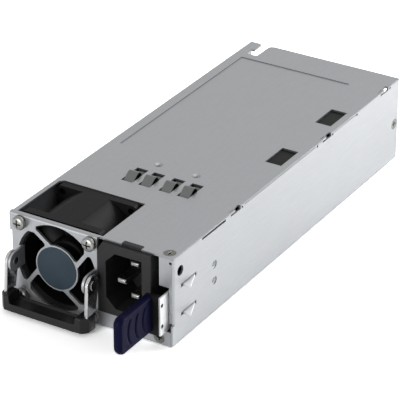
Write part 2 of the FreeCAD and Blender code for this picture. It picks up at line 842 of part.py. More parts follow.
def cavity_outline(y):
    # Socket outline: a rectangle with two corners cut off on the earth side
    x0, x1 = cavity_x - cavity_width / 2, cavity_x + cavity_width / 2
    z0, z1 = cavity_z - cavity_height / 2, cavity_z + cavity_height / 2
    c = cavity_chamfer
    return [(x1, y, z0), (x1, y, z1), (x0 + c, y, z1), (x0, y, z1 - c), (x0, y, z0 + c), (x0 + c, y, z0)]


def pin_places():
    # Line, neutral and earth: x, z and where the blade's tip starts
    line_x = cavity_x + pin_line_offset
    tip = -inlet_proud + pin_recess
    return [(line_x, cavity_z + pin_pitch / 2, tip), (line_x, cavity_z - pin_pitch / 2, tip),
            (line_x - earth_offset, cavity_z, tip - earth_extra)]


def make_inlet_housing():
    # Moulded inlet: flange between lip and roof, body behind it, snap clip on top
    front = -inlet_proud
    back = front + inlet_flange_depth
    flange = block(panel_right, inlet_right, front, back, lip_height, roof_under)
    y = front - 1
    corner = [(panel_right, y, roof_under - inlet_corner_height), (panel_right, y, roof_under),
              (panel_right + inlet_corner_width, y, roof_under)]
    flange = flange.cut(prism(corner, (0, inlet_flange_depth + 2, 0)))
    flange = flange.makeFillet(inlet_edge_radius, edges_at(flange, y=front))
    inset = inlet_body_inset
    body = block(panel_right + inset, inlet_right, back, inlet_body_depth, lip_height + inlet_body_lift,
                 roof_under - inset)
    clip = block(clip_left + clip_gap, clip_right - clip_gap, clip_gap, clip_depth - clip_gap,
                 roof_under - clip_root, case_height + clip_proud)
    housing = joined([flange, body, clip])
    housing = housing.cut(prism(cavity_outline(front - 1), (0, cavity_depth + 1, 0)))
    for x, z, _ in pin_places():
        housing = housing.cut(blade_block(x, z, 0, inlet_body_depth + 1, fit_gap))
    return housing


def blade_block(x, z, y0, y1, grow):
    w = pin_width / 2 + grow
    t = pin_thickness / 2 + grow
    return block(x - w, x + w, y0, y1, z - t, z + t)


def make_inlet_pins():
    # Flat blades with rounded tips and a solder tail behind the housing
    pins = []
    for x, z, tip in pin_places():
        blade = blade_block(x, z, tip, inlet_body_depth + pin_tail, 0)
        pins.append(blade.makeChamfer(pin_tip_chamfer, edges_at(blade, y=tip)))
    return Part.makeCompound(pins)


def grip_outline(z):
    # Plan of the grip bar with its front corners cut off
    y0, y1 = grip_front, grip_front + grip_depth
    c = grip_corner
    return [(grip_left, y1, z), (grip_left, y0 + c, z), (grip_left + c, y0, z), (grip_right - c, y0, z),
            (grip_right, y0 + c, z), (grip_right, y1, z)]


def bracket_blank():
    # Bent steel strap: two arms that lean forward from their eyes, and the bar between them
    bar_z = grip_bottom + grip_floor
    bar_top = bar_z + strap_thickness
    foot_z = grip_bottom + grip_end_height
    x_left, x_right = strap_lefts()
    bar_rear = strap_foot_rear - strap_bar_inset
    pieces = [block(x_left, x_right + strap_thickness, strap_foot_front, bar_rear, bar_z, bar_top)]
    r = strap_end_radius
    for x in (x_left, x_right):
        outline = [(x, pivot_y - r, pivot_z), (x, pivot_y + r, pivot_z), (x, strap_foot_rear, foot_z),
                   (x, bar_rear, foot_z), (x, bar_rear, bar_z), (x, strap_foot_front, bar_z),
                   (x, strap_foot_front, foot_z)]
        pieces.append(prism(outline, (strap_thickness, 0, 0)))
        pieces.append(rod(r, (x, pivot_y, pivot_z), (x + strap_thickness, pivot_y, pivot_z)))
    return joined(pieces)


def make_handle_bracket():
    # The strap turns on the two pins through its eyes
    bracket = bracket_blank()
    for x in strap_lefts():
        bracket = bracket.cut(rod(handle_pin_radius + handle_pin_gap, (x - 1, pivot_y, pivot_z),
                                  (x + strap_thickness + 1, pivot_y, pivot_z)))
    return bracket


def make_handle_grip():
    # Plastic grip moulded round the strap, with end blocks and a finger trough
    x0, x1 = grip_left + grip_end_width, grip_right - grip_end_width
    bar = prism(grip_outline(grip_bottom), (0, 0, grip_height))
    ends = prism(grip_outline(grip_bottom), (0, 0, grip_end_height))
    gap = block(x0, x1, grip_front - 1, grip_front + grip_depth + 1, grip_bottom + grip_height,
                grip_bottom + grip_end_height + 1)
    grip = joined([bar, ends.cut(gap)])
    top = grip_bottom + grip_end_height
    rims = [e for e in grip.Edges if e.BoundBox.ZMax < grip_bottom + 0.01 or e.BoundBox.ZMin > top - 0.01]
    grip = grip.makeFillet(grip_rim_radius, rims)
    trough = block(x0, x1, grip_front + trough_lip, grip_front + grip_depth - trough_lip,
                   grip_bottom + grip_height - trough_depth, grip_bottom + grip_height + 1)
    grip = grip.cut(trough)
    return grip.cut(bracket_blank())


def make_latch_leaf():
    # Steel leaf along the wall; its top and bottom edges fold out into the locking fins
    nose = block(leaf_left, leaf_right, leaf_front, leaf_nose_rear, leaf_nose_bottom, leaf_nose_top)
    middle = block(leaf_left, leaf_right, leaf_nose_rear - leaf_nose_overlap, leaf_waist_front, leaf_bottom,
                   leaf_top)
    waist = block(leaf_left, leaf_right, leaf_waist_front, latch_pivot_y - seat_gap / 2,
                  leaf_bottom + leaf_waist, leaf_top - leaf_waist)
    pieces = [nose, middle, waist]
    for low in fin_bottoms():
        outline = [(leaf_left, fin_front, low), (fin_tip, fin_front, low),
                   (half_width, fin_rear - fin_root_lead, low), (leaf_left, fin_rear, low)]
        pieces.append(prism(outline, (0, 0, fin_thickness)))
    leaf = joined(pieces)
    for z in stake_heights():
        leaf = leaf.cut(rod(stake_radius + fit_gap, (leaf_left - 1, stake_y(), z),
                            (leaf_right + 1, stake_y(), z)))
    return leaf


def stake_heights():
    middle = (leaf_nose_bottom + leaf_nose_top) / 2
    return (middle - stake_pitch / 2, middle + stake_pitch / 2)


def stake_y():
    return carrier_front + carrier_block_depth / 2 + stake_offset


def make_latch_root():
    # Foot of the leaf, riveted to the right wall, with the step that holds the leaf off the wall
    low, high = leaf_bottom + leaf_waist, leaf_top - leaf_waist
    start = latch_pivot_y + seat_gap / 2
    step = start + leaf_root_step
    outline = [(leaf_left, start, low), (leaf_right, start, low), (leaf_right, step, low),
               (wall_inside, leaf_foot_front, low), (wall_inside, leaf_foot_rear, low),
               (wall_inside - leaf_thickness, leaf_foot_rear, low),
               (wall_inside - leaf_thickness, leaf_foot_front + leaf_root_slant, low),
               (leaf_left, step + leaf_root_slant, low)]
    root = prism(outline, (0, 0, high - low))
    for z in leaf_rivet_heights():
        root = root.cut(rod(leaf_rivet_radius, (leaf_left, leaf_rivet_y, z), (half_width, leaf_rivet_y, z)))
    return root


def make_latch_rivets():
    # Two hollow rivets through the leaf's foot and the wall, their ends below the wall's face
    rivets = []
    for z in leaf_rivet_heights():
        inner = wall_inside - leaf_thickness
        face = half_width - leaf_rivet_sink
        shank = rod(leaf_rivet_radius, (inner, leaf_rivet_y, z), (face, leaf_rivet_y, z))
        head = rod(leaf_rivet_radius + leaf_rivet_head_extra, (inner - leaf_rivet_head, leaf_rivet_y, z),
                   (inner, leaf_rivet_y, z))
        hollow = rod(leaf_rivet_bore, (face - leaf_rivet_hollow, leaf_rivet_y, z),
                     (face + 1, leaf_rivet_y, z))
        rivets.append(joined([shank, head]).cut(hollow))
    return Part.makeCompound(rivets)


def make_latch_carrier():
    # Black moulding on the leaf's nose; its stakes go through the leaf and its tongue holds the tab
    low, high = leaf_nose_bottom, leaf_nose_top
    face = block(tab_left + seat_gap, leaf_left, carrier_front, carrier_front + carrier_thickness, low, high)
    heel = block(carrier_block_left, leaf_left, carrier_front, carrier_front + carrier_block_depth, low, high)
    mid = tab_left + tab_thickness / 2
    tongue = block(mid - tongue_thickness / 2, mid + tongue_thickness / 2, carrier_front - tongue_length,
                   carrier_front, tab_bottom + tongue_margin, tab_top - tongue_margin)
    carrier = joined([face, heel, tongue])
    for z in stake_heights():
        stake = rod(stake_radius, (leaf_left - 0.5, stake_y(), z), (leaf_right - stake_end_gap, stake_y(), z))
        carrier = joined([carrier, stake])
    return carrier


def make_release_tab():
    # Rounded paddle with three crescent grooves on its outer face
    right = tab_left + tab_thickness
    front = carrier_front - tab_length
    tab = block(tab_left, right, front, carrier_front, tab_bottom, tab_top)
    corners = edges_at(tab, y=front, z=tab_bottom) + edges_at(tab, y=front, z=tab_top)
    tab = tab.makeFillet(tab_corner_radius, corners)
    rims = [e for e in tab.Edges if e.BoundBox.XLength < 0.01 and e.BoundBox.YMin < carrier_front - 0.1]
    tab = tab.makeFillet(tab_edge_radius, rims)
    middle = (tab_bottom + tab_top) / 2
    for i in range(groove_count):
        y = front + groove_lead + i * groove_pitch + groove_radius
        disc = rod(groove_radius, (right - groove_depth, y, middle), (right + 1, y, middle))
        core = rod(groove_radius, (right - groove_depth - 1, y + groove_width, middle),
                   (right + 2, y + groove_width, middle))
        band = block(right - groove_depth, right + 1, y - groove_radius - 1, y, middle - groove_span / 2,
                     middle + groove_span / 2)
        tab = tab.cut(disc.cut(core).common(band))
    mid = tab_left + tab_thickness / 2
    half = tongue_thickness / 2 + fit_gap
    pocket = block(mid - half, mid + half, carrier_front - tongue_length - fit_gap, carrier_front + 1,
                   tab_bottom + tongue_margin - fit_gap, tab_top - tongue_margin + fit_gap)
    return tab.cut(pocket)


def ribbon(points, thickness, x0, x1):
    # Bent strip: a path in Y and Z given thickness on its lower side, carried along X
    lower = []
    count = len(points)
    for i in range(count):
        a = points[max(i - 1, 0)]
        b = points[min(i + 1, count - 1)]
        length = math.hypot(b[0] - a[0], b[1] - a[1])
        ny, nz = -(b[1] - a[1]) / length, (b[0] - a[0]) / length
        lower.append((points[i][0] - ny * thickness, points[i][1] - nz * thickness))
    outline = [(x0, y, z) for y, z in points] + [(x0, y, z) for y, z in reversed(lower)]
    return prism(outline, (x1 - x0, 0, 0))


def finger_path():
    # Free end under the roof, ramp up through the window, crest, and the way back down to the strip
    crest = case_height + finger_rise
    front = finger_window_front + finger_lead
    rear = strip_front + 0.5
    crest_y = finger_window_front + finger_crest
    toe = (front - finger_toe_length, roof_under - finger_toe_depth)
    points = [toe, (front, roof_under - 0.1), (crest_y - 1.6, crest - 0.35)]
    radius = finger_crest_radius
    for i in range(finger_crest_steps):
        turn = math.radians(90 - finger_crest_step * i)
        points.append((crest_y - 0.6 + radius * math.cos(turn), crest - radius + radius * math.sin(turn)))
    points += [(finger_window_rear - 1.8, roof_under - 0.5), (finger_window_rear - 0.8, roof_under - 0.02),
               (rear, roof_under - 0.02)]
    return points


def make_grounding_spring():
    # One strip riveted under the roof, with four fingers that stand out through the roof's windows
    left = finger_starts[0] - strip_margin
    right = finger_starts[-1] + finger_window_width + strip_margin
    pieces = [block(left, right, strip_front, strip_rear, roof_under - strip_thickness, roof_under)]
    inset = (finger_window_width - finger_width) / 2
    for x in finger_starts:
        pieces.append(ribbon(finger_path(), strip_thickness, x + inset, x + inset + finger_width))
    spring = joined(pieces)
    for x, y in strip_rivets:
        spring = spring.cut(rod(strip_rivet_radius, (x, y, roof_under - 2), (x, y, roof_under + 1)))
    return spring


def make_grounding_rivets():
    # Rivets that hold the strip, their heads sunk in the roof's dimples
    rivets = []
    for x, y in strip_rivets:
        strip_under = roof_under - strip_thickness
        shank = rod(strip_rivet_radius, (x, y, strip_under), (x, y, roof_under + strip_rivet_rise))
        head = rod(strip_rivet_radius + strip_rivet_head_extra, (x, y, strip_under - strip_rivet_head),
                   (x, y, strip_under))
        rivets.append(joined([shank, head]))
    return Part.makeCompound(rivets)


def make_insulator_film():
    # Thin black film folded under the roof and down the inside of the right wall
    top = block(film_left, wall_inside, film_front, film_rear, film_under, roof_under)
    side = block(wall_inside - film_thickness, wall_inside, film_front, film_rear,
                 board_top + film_board_gap, roof_under)
    film = joined([top, side])
    for front, rear in lid_flanges:
        film = film.cut(block(half_width - flange_width - sheet - seat_gap, half_width, front - seat_gap,
                              rear + seat_gap, roof_under - sheet - seat_gap, roof_under + 1))
    for front, rear in edge_tabs:
        film = film.cut(block(half_width - edge_tab_depth - 2 * seat_gap, half_width, front, rear,
                              roof_under - sheet, roof_under + 1))
    return film


def vent_places():
    # Staggered rows of round vents over the rear panel
    half = wall_inside - vent_margin - vent_radius
    rows = int((roof_under - vent_margin - vent_floor - 2 * vent_radius) / (vent_pitch * vent_row_share)) + 1
    places = []
    for row in range(rows):
        z = vent_floor + vent_radius + row * vent_pitch * vent_row_share
        shift = vent_pitch / 2 if row % 2 else 0
        count = int((2 * half - shift) / vent_pitch) + 1
        start = -(count - 1) * vent_pitch / 2
        places += [(start + i * vent_pitch, z) for i in range(count)]
    return places


def make_rear_panel():
    # Vented plate with the slot for the card edge and two side flanges
    y0, y1 = rear_panel_y, rear_panel_y + sheet
    plate = block(-wall_inside, wall_inside, y0, y1, sheet, roof_under)
    right = block(wall_inside - sheet, wall_inside, y0, y0 + rear_flange_length, rear_flange_bottom,
                  rear_flange_top)
    left = block(-wall_inside, -wall_inside + sheet, y0, y0 + rear_left_flange_length, rear_flange_bottom,
                 rear_flange_top)
    panel = joined([plate, right, left])
    for x, z in vent_places():
        panel = panel.cut(rod(vent_radius, (x, y0 - 1, z), (x, y1 + 1, z)))
    gap = tongue_slot_gap
    panel = panel.cut(block(-card_width / 2 - gap, card_width / 2 + gap, y0 - 1, y1 + 1,
                            board_height - gap, board_top + gap))
    return panel.cut(countersink((half_width, side_screw_y, side_screw_z), (-1, 0, 0)))


def standoff_places():
    return [(sx * standoff_x, y) for sx in (-1, 1) for y in standoff_y]


def make_main_board():
    # Circuit board with the card edge that passes through the rear panel
    half = wall_inside - board_side_gap
    rear = rear_panel_y - board_rear_gap
    card_rear = case_length + card_reach
    board = block(-half, half, board_front, rear, board_height, board_top)
    card = block(-card_width / 2, card_width / 2, rear - 1, card_rear, board_height, board_top)
    card = card.makeChamfer(card_edge_chamfer, edges_at(card, y=card_rear, z=board_top)
                            + edges_at(card, y=card_rear, z=board_height))
    board = joined([board, card])
    board = board.cut(block(key_x - key_width / 2, key_x + key_width / 2, card_rear - key_depth,
                            card_rear + 1, board_height - 1, board_top + 1))
    for x, y in standoff_places():
        board = board.cut(rod(board_screw_radius + board_screw_hole_gap, (x, y, board_height - 1),
                              (x, y, board_top + 1)))
    return board


def make_gold_fingers():
    # Contact pads on both faces of the card edge, left out where the key slot is
    pads = []
    rear = case_length + card_reach - pad_inset
    first = -(finger_pad_count - 1) * finger_pad_pitch / 2
    for i in range(finger_pad_count):
        x = first + i * finger_pad_pitch
        if abs(x - key_x) < (key_width + finger_pad_width) / 2:
            continue
        for z in (board_top, board_height - finger_pad_thickness):
            pads.append(block(x - finger_pad_width / 2, x + finger_pad_width / 2, rear - finger_pad_length,
                              rear, z, z + finger_pad_thickness))
    return Part.makeCompound(pads)


def make_board_standoffs():
    # Pressed posts between the floor and the board
    posts = [tube(standoff_radius, board_screw_radius, (x, y, sheet), (x, y, board_height))
             for x, y in standoff_places()]
    return Part.makeCompound(posts)


def make_board_screws():
    # Screws down through the board into the posts
    screws = []
    for x, y in standoff_places():
        head = rod(board_screw_head_radius, (x, y, board_top), (x, y, board_top + board_screw_head))
        head = head.makeFillet(board_screw_edge_radius, edges_at(head, z=board_top + board_screw_head))
        shank = rod(board_screw_radius, (x, y, sheet + board_screw_end_gap), (x, y, board_top))
        screw = joined([head, shank])
        face = (x, y, board_top + board_screw_head)
        screws.append(screw.cut(cross_recess(face, "z", board_screw_head_radius)))
    return Part.makeCompound(screws)


# Layout of the circuit board, planned for this free length, width and height
planned_run = 136.0
planned_width = 71.9
planned_height = 31.6
stretch = (rear_panel_y - board_front) / planned_run
spread = 2 * wall_inside / planned_width
rise = (roof_under - board_top) / planned_height
slim = min(1.0, stretch, spread)
layout_scales = {
    "x": spread, "first_x": spread, "pitch_x": spread, "width": min(1.0, spread), "fin": min(1.0, spread),
    "y": stretch, "front": stretch, "rear": stretch, "fin_front": stretch, "pitch": stretch,
    "depth": min(1.0, stretch), "length": min(1.0, stretch), "cap": slim, "chip": slim, "radius": slim,
    "ring": slim, "core": slim, "turn": slim, "leg": slim, "height": rise,
}


def fitted(part):
    # Places spread with the case, and sizes shrink where it is shorter, narrower or lower than planned;
    # y, front, rear and fin_front are measured from the board's front edge
    result = {}
    for key, value in part.items():
        if key in layout_scales:
            value = value * layout_scales[key]
        if key in ("y", "front", "rear", "fin_front"):
            value = board_front + value
        result[key] = value
    return result


# Parts on the circuit board: place and size
filter_choke = fitted({"x": 16.5, "y": 20.0, "ring": 7.0, "core": 3.2, "turn": 0.55, "turns": 14})
boost_choke = fitted({"x": 18.5, "y": 45.5, "ring": 8.2, "core": 4.0, "turn": 0.6, "turns": 16})
filter_capacitor = fitted({"x": -3.0, "y": 14.0, "width": 13.0, "depth": 18.0, "height": 19.0, "edge": 1.0})
surge_relay = fitted({"x": -22.0, "y": 17.5, "width": 15.0, "depth": 19.0, "height": 15.5, "edge": 0.6})
fuse = fitted({"x": 31.0, "y": 19.0, "radius": 2.6, "length": 20.0, "cap": 4.0, "lift": 1.2})
bulk_capacitors = fitted({"x": -11.2, "y": 41.5, "pitch": 26.5, "radius": 12.5, "height": 30.0, "edge": 1.0,
                          "groove": 3.0, "groove_width": 1.2, "groove_depth": 0.8})
primary_sink = fitted({"x": -30.5, "front": 27.0, "rear": 91.0, "plate": 2.4, "height": 27.0, "fin": 5.0,
                       "fin_front": 48.0, "fin_thickness": 1.2, "fin_pitch": 4.2, "first_fin": 4.0})
bridge_package = fitted({"y": 37.9, "length": 20.0, "height": 17.0, "thickness": 3.6, "lift": 4.0, "legs": 4,
                         "leg_width": 1.2, "leg_thickness": 1.0})
transformer = fitted({"x": 18.0, "y": 76.0, "width": 27.0, "depth": 30.0, "height": 26.0, "leg": 6.0,
                      "lift": 3.0, "shelf": 1.2, "side": 1.6, "shelf_half_depth": 5.0})
output_sink = fitted({"x": 6.0, "front": 99.0, "rear": 113.0, "width": 44.0, "height": 24.0, "fins": 9,
                      "fin_thickness": 1.6, "foot": 4.0})
output_capacitors = fitted({"y": 124.0, "first_x": -14.0, "pitch_x": 9.6, "count": 5, "radius": 4.0,
                            "height": 13.0, "edge": 0.6})
control_card = fitted({"x": -27.5, "front": 98.0, "rear": 128.0, "thickness": 1.2, "height": 25.0,
                       "chip": 7.0, "chip_height": 1.0, "chip_rows": (4.0, 14.0), "chip_columns": (0.13, 0.57)})
base_plate = 1.0


def choke_core(choke):
    # Ring core lying flat over the board
    z = board_top + base_plate + choke["core"] + 2 * choke["turn"] + fit_gap
    return Part.makeTorus(choke["ring"], choke["core"], Vector(choke["x"], choke["y"], z), Vector(0, 0, 1))


def choke_turns(choke):
    # Separate wire turns round the ring core
    z = board_top + base_plate + choke["core"] + 2 * choke["turn"] + fit_gap
    centre = Vector(choke["x"], choke["y"], z)
    turns = []
    for i in range(choke["turns"]):
        angle = 2 * math.pi * i / choke["turns"]
        radial = Vector(math.cos(angle), math.sin(angle), 0)
        tangent = Vector(-math.sin(angle), math.cos(angle), 0)
        turns.append(Part.makeTorus(choke["core"] + choke["turn"] + fit_gap, choke["turn"],
                                    centre + radial * choke["ring"], tangent))
    return turns


def make_choke_cores():
    # Ferrite ring of the mains filter and powdered iron ring of the boost stage
    return Part.makeCompound([choke_core(filter_choke), choke_core(boost_choke)])


def make_choke_windings():
    return Part.makeCompound(choke_turns(filter_choke) + choke_turns(boost_choke))


def make_choke_bases():
    # Thin carrier under each choke
    bases = []
    for choke in (filter_choke, boost_choke):
        r = choke["ring"] + choke["core"]
        x, y = choke["x"], choke["y"]
        bases.append(rod(r, (x, y, board_top), (x, y, board_top + base_plate)))
    return Part.makeCompound(bases)


def upright_box(part):
    # Box component standing on the board, with rounded upright edges
    w, d = part["width"] / 2, part["depth"] / 2
    shape = block(part["x"] - w, part["x"] + w, part["y"] - d, part["y"] + d, board_top,
                  board_top + part["height"])
    return shape.makeFillet(part["edge"], edges_along(shape, "z"))


def make_filter_capacitor():
    return upright_box(filter_capacitor)


def make_surge_relay():
    return upright_box(surge_relay)


def make_inlet_fuse():
    # Glass fuse lying in two clips
    x, r = fuse["x"], fuse["radius"]
    z = board_top + fuse["lift"] + r
    y0 = fuse["y"] - fuse["length"] / 2
    y1 = y0 + fuse["length"]
    body = rod(r, (x, y0, z), (x, y1, z))
    feet = [block(x - r, x + r, y, y + fuse["cap"], board_top, z) for y in (y0, y1 - fuse["cap"])]
    return joined([body] + feet)


def make_bulk_capacitors():
    # Two large can capacitors standing on the board
    cans = []
    for i in range(2):
        y = bulk_capacitors["y"] + i * bulk_capacitors["pitch"]
        x, r = bulk_capacitors["x"], bulk_capacitors["radius"]
        top = board_top + bulk_capacitors["height"]
        can = rod(r, (x, y, board_top), (x, y, top))
        can = can.makeFillet(bulk_capacitors["edge"], edges_at(can, z=top))
        low = board_top + bulk_capacitors["groove"]
        high = low + bulk_capacitors["groove_width"]
        cans.append(can.cut(tube(r + 1, r - bulk_capacitors["groove_depth"], (x, y, low), (x, y, high))))
    return Part.makeCompound(cans)


def make_primary_heatsink():
    # Finned aluminium bar along the left side
    x0 = primary_sink["x"] - primary_sink["plate"] / 2
    x1 = x0 + primary_sink["plate"]
    front, rear = primary_sink["front"], primary_sink["rear"]
    top = board_top + primary_sink["height"]
    pieces = [block(x0, x1, front, rear, board_top, top)]
    thickness, pitch = primary_sink["fin_thickness"], primary_sink["fin_pitch"]
    z = board_top + primary_sink["first_fin"]
    while z + thickness < top:
        fin_tips = x1 + primary_sink["fin"]
        pieces.append(block(x1 - 0.1, fin_tips, primary_sink["fin_front"], rear, z, z + thickness))
        z += pitch
    return joined(pieces)


def make_bridge_rectifier():
    # Flat package clamped to the heatsink, legs down to the board
    x0 = primary_sink["x"] + primary_sink["plate"] / 2
    x1 = x0 + bridge_package["thickness"]
    y0 = bridge_package["y"] - bridge_package["length"] / 2
    z0 = board_top + bridge_package["lift"]
    pieces = [block(x0, x1, y0, y0 + bridge_package["length"], z0, z0 + bridge_package["height"])]
    leg = bridge_package["leg_width"]
    pitch = bridge_package["length"] / bridge_package["legs"]
    for i in range(bridge_package["legs"]):
        y = y0 + (i + 0.5) * pitch
        pieces.append(block(x0 + leg, x0 + leg + bridge_package["leg_thickness"], y - leg / 2, y + leg / 2,
                            board_top, z0))
    return joined(pieces)


def make_transformer_core():
    # Two ferrite halves as one closed frame round the winding
    w, d = transformer["width"] / 2, transformer["depth"] / 2
    x, y, leg = transformer["x"], transformer["y"], transformer["leg"]
    top = board_top + transformer["height"]
    low = board_top + transformer["lift"]
    outer = block(x - w, x + w, y - d, y + d, low, top)
    window = block(x - w - 1, x + w + 1, y - d + leg, y + d - leg, low + leg, top - leg)
    post = rod(leg, (x, y, low), (x, y, top))
    return joined([outer.cut(window), post])


def make_transformer_winding():
    # Bobbin with its winding, on feet that reach the board
    w, d = transformer["width"] / 2, transformer["depth"] / 2
    x, y, leg = transformer["x"], transformer["y"], transformer["leg"]
    low, high = board_top + transformer["lift"] + leg, board_top + transformer["height"] - leg
    coil = rod(d - leg - 0.1, (x, y, low), (x, y, high))
    coil = coil.cut(rod(leg + fit_gap, (x, y, low - 1), (x, y, high + 1)))
    pieces = [coil]
    for side in (-1, 1):
        reach = w + transformer["side"]
        y0, y1 = y - transformer["shelf_half_depth"], y + transformer["shelf_half_depth"]
        shelf_top = low + transformer["shelf"]
        x0, x1 = sorted((x + side * (leg + 1.5), x + side * reach))
        shelf = block(x0, x1, y0, y1, low, shelf_top)
        x2, x3 = sorted((x + side * (w + seat_gap), x + side * reach))
        foot = block(x2, x3, y0, y1, board_top, shelf_top)
        pieces += [shelf, foot]
    return joined(pieces)


def make_output_heatsink():
    # Finned block over the output switches
    x0 = output_sink["x"] - output_sink["width"] / 2
    x1 = x0 + output_sink["width"]
    front, rear = output_sink["front"], output_sink["rear"]
    foot, fin = output_sink["foot"], output_sink["fin_thickness"]
    pieces = [block(x0, x1, front, rear, board_top, board_top + foot)]
    pitch = (output_sink["width"] - fin) / (output_sink["fins"] - 1)
    for i in range(output_sink["fins"]):
        x = x0 + i * pitch
        pieces.append(block(x, x + fin, front, rear, board_top + foot - 0.1,
                            board_top + output_sink["height"]))
    return joined(pieces)


def make_output_capacitors():
    cans = []
    for i in range(output_capacitors["count"]):
        x = output_capacitors["first_x"] + i * output_capacitors["pitch_x"]
        y, r = output_capacitors["y"], output_capacitors["radius"]
        top = board_top + output_capacitors["height"]
        can = rod(r, (x, y, board_top), (x, y, top))
        cans.append(can.makeFillet(output_capacitors["edge"], edges_at(can, z=top)))
    return Part.makeCompound(cans)


def make_control_card():
    # Small upright board with its chips
    x0 = control_card["x"]
    x1 = x0 + control_card["thickness"]
    front, rear = control_card["front"], control_card["rear"]
    card = block(x0, x1, front, rear, board_top, board_top + control_card["height"])
    size, height = control_card["chip"], control_card["chip_height"]
    pieces = [card]
    for share in control_card["chip_columns"]:
        for z in control_card["chip_rows"]:
            y = front + share * (rear - front)
            pieces.append(block(x1 - 0.05, x1 + height, y, y + size, board_top + z, board_top + z + size))
    return joined(pieces)


# Wires that the case holds all the way
lead_radius = 1.1
lead_bend = 5.0
lead_run = 9.0
earth_lead_extra = 4.0
fan_lead_x = -case_width / 2 + 10.25
fan_lead_z = case_height - 4.4
fan_plug = {"width": 4.0, "depth": 4.0, "height": 4.5, "setback": 1.5}


def bent_lead(x, y0, z0, run, z1):
    # Insulated wire straight back, one quarter turn, then down
    r = lead_bend
    corner = Vector(x, y0 + run, z0)
    a, b = Vector(x, y0, z0), Vector(x, y0 + run - r, z0)
    c, d = Vector(x, y0 + run, z0 - r), Vector(x, y0 + run, z1)
    s = r * (1 - math.sqrt(0.5))
    bend = Part.Arc(b, corner + Vector(0, -s, -s), c).toShape()
    path = Part.Wire([Part.LineSegment(a, b).toShape(), bend, Part.LineSegment(c, d).toShape()])
    ring = Part.Wire([Part.Circle(a, Vector(0, 1, 0), lead_radius).toShape()])
    return path.makePipeShell([ring], True, True)


def make_inlet_leads():
    # Line, neutral and earth wires from the inlet's tails down to the board
    start = inlet_body_depth + pin_tail
    extra = (0.0, 0.0, earth_lead_extra)
    leads = [bent_lead(x, start, z, board_front - start + lead_run * 0.4 + more, board_top)
             for (x, z, _), more in zip(pin_places(), extra)]
    return Part.makeCompound(leads)


def make_fan_lead():
    # Fan wires from the frame's rear flange to their plug on the board
    plug = fan_plug
    run = board_front - fan_rear + plug["depth"] / 2 + plug["setback"]
    return bent_lead(fan_lead_x, fan_rear, fan_lead_z, run, board_top + plug["height"])


def make_fan_plug():
    plug = fan_plug
    y = board_front + plug["depth"] / 2 + plug["setback"]
    w, d = plug["width"] / 2, plug["depth"] / 2
    return block(fan_lead_x - w, fan_lead_x + w, y - d, y + d, board_top, board_top + plug["height"])


def make_top_screw():
    return countersunk_screw((top_screw_x, top_screw_y, case_height), (0, 0, -1), "z")


def make_side_screw():
    return countersunk_screw((half_width, side_screw_y, side_screw_z), (-1, 0, 0), "x")


def make_lip_screw():
    return countersunk_screw((front_screw_x, panel_front, front_screw_z), (0, 1, 0), "y")


parts = {
    "chassis_base": make_chassis_base,
    "top_cover": make_top_cover,
    "front_panel": make_front_panel,
    "rear_panel": make_rear_panel,
    "label_disc": make_label_disc,
    "top_screw": make_top_screw,
    "side_screw": make_side_screw,
    "lip_screw": make_lip_screw,
    "fan_gasket": make_fan_gasket,
    "fan_frame": make_fan_frame,
    "fan_bearings": make_fan_bearings,
    "fan_stator": make_fan_stator,
    "fan_impeller": make_fan_impeller,
    "fan_shaft": make_fan_shaft,
    "fan_magnet": make_fan_magnet,
    "fan_screws": make_fan_screws,
    "fan_washers": make_fan_washers,
    "fan_lead": make_fan_lead,
    "fan_plug": make_fan_plug,
    "inlet_housing": make_inlet_housing,
    "inlet_pins": make_inlet_pins,
    "inlet_leads": make_inlet_leads,
    "handle_pins": make_handle_pins,
    "handle_bracket": make_handle_bracket,
    "handle_grip": make_handle_grip,
    "latch_leaf": make_latch_leaf,
    "latch_root": make_latch_root,
    "latch_rivets": make_latch_rivets,
    "latch_carrier": make_latch_carrier,
    "release_tab": make_release_tab,
    "grounding_spring": make_grounding_spring,
    "grounding_rivets": make_grounding_rivets,
    "insulator_film": make_insulator_film,
    "main_board": make_main_board,
    "gold_fingers": make_gold_fingers,
    "board_standoffs": make_board_standoffs,
    "board_screws": make_board_screws,
    "choke_cores": make_choke_cores,
    "choke_windings": make_choke_windings,
    "choke_bases": make_choke_bases,
    "filter_capacitor": make_filter_capacitor,
    "surge_relay": make_surge_relay,
    "inlet_fuse": make_inlet_fuse,
    "bulk_capacitors": make_bulk_capacitors,
    "primary_heatsink": make_primary_heatsink,
    "bridge_rectifier": make_bridge_rectifier,
    "transformer_core": make_transformer_core,
    "transformer_winding": make_transformer_winding,
    "output_heatsink": make_output_heatsink,
    "output_capacitors": make_output_capacitors,
    "control_card": make_control_card,
}


def main():
    os.makedirs("parts", exist_ok=True)
    for name, make in parts.items():
        shape = make()
        shape.translate(Vector(0, -case_length / 2, 0))
        shape.exportStep("parts/" + name + ".step")
        print(name, len(shape.Solids), "solids", round(shape.Volume, 1), "mm3", shape.isValid())


main()
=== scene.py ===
import json
import math

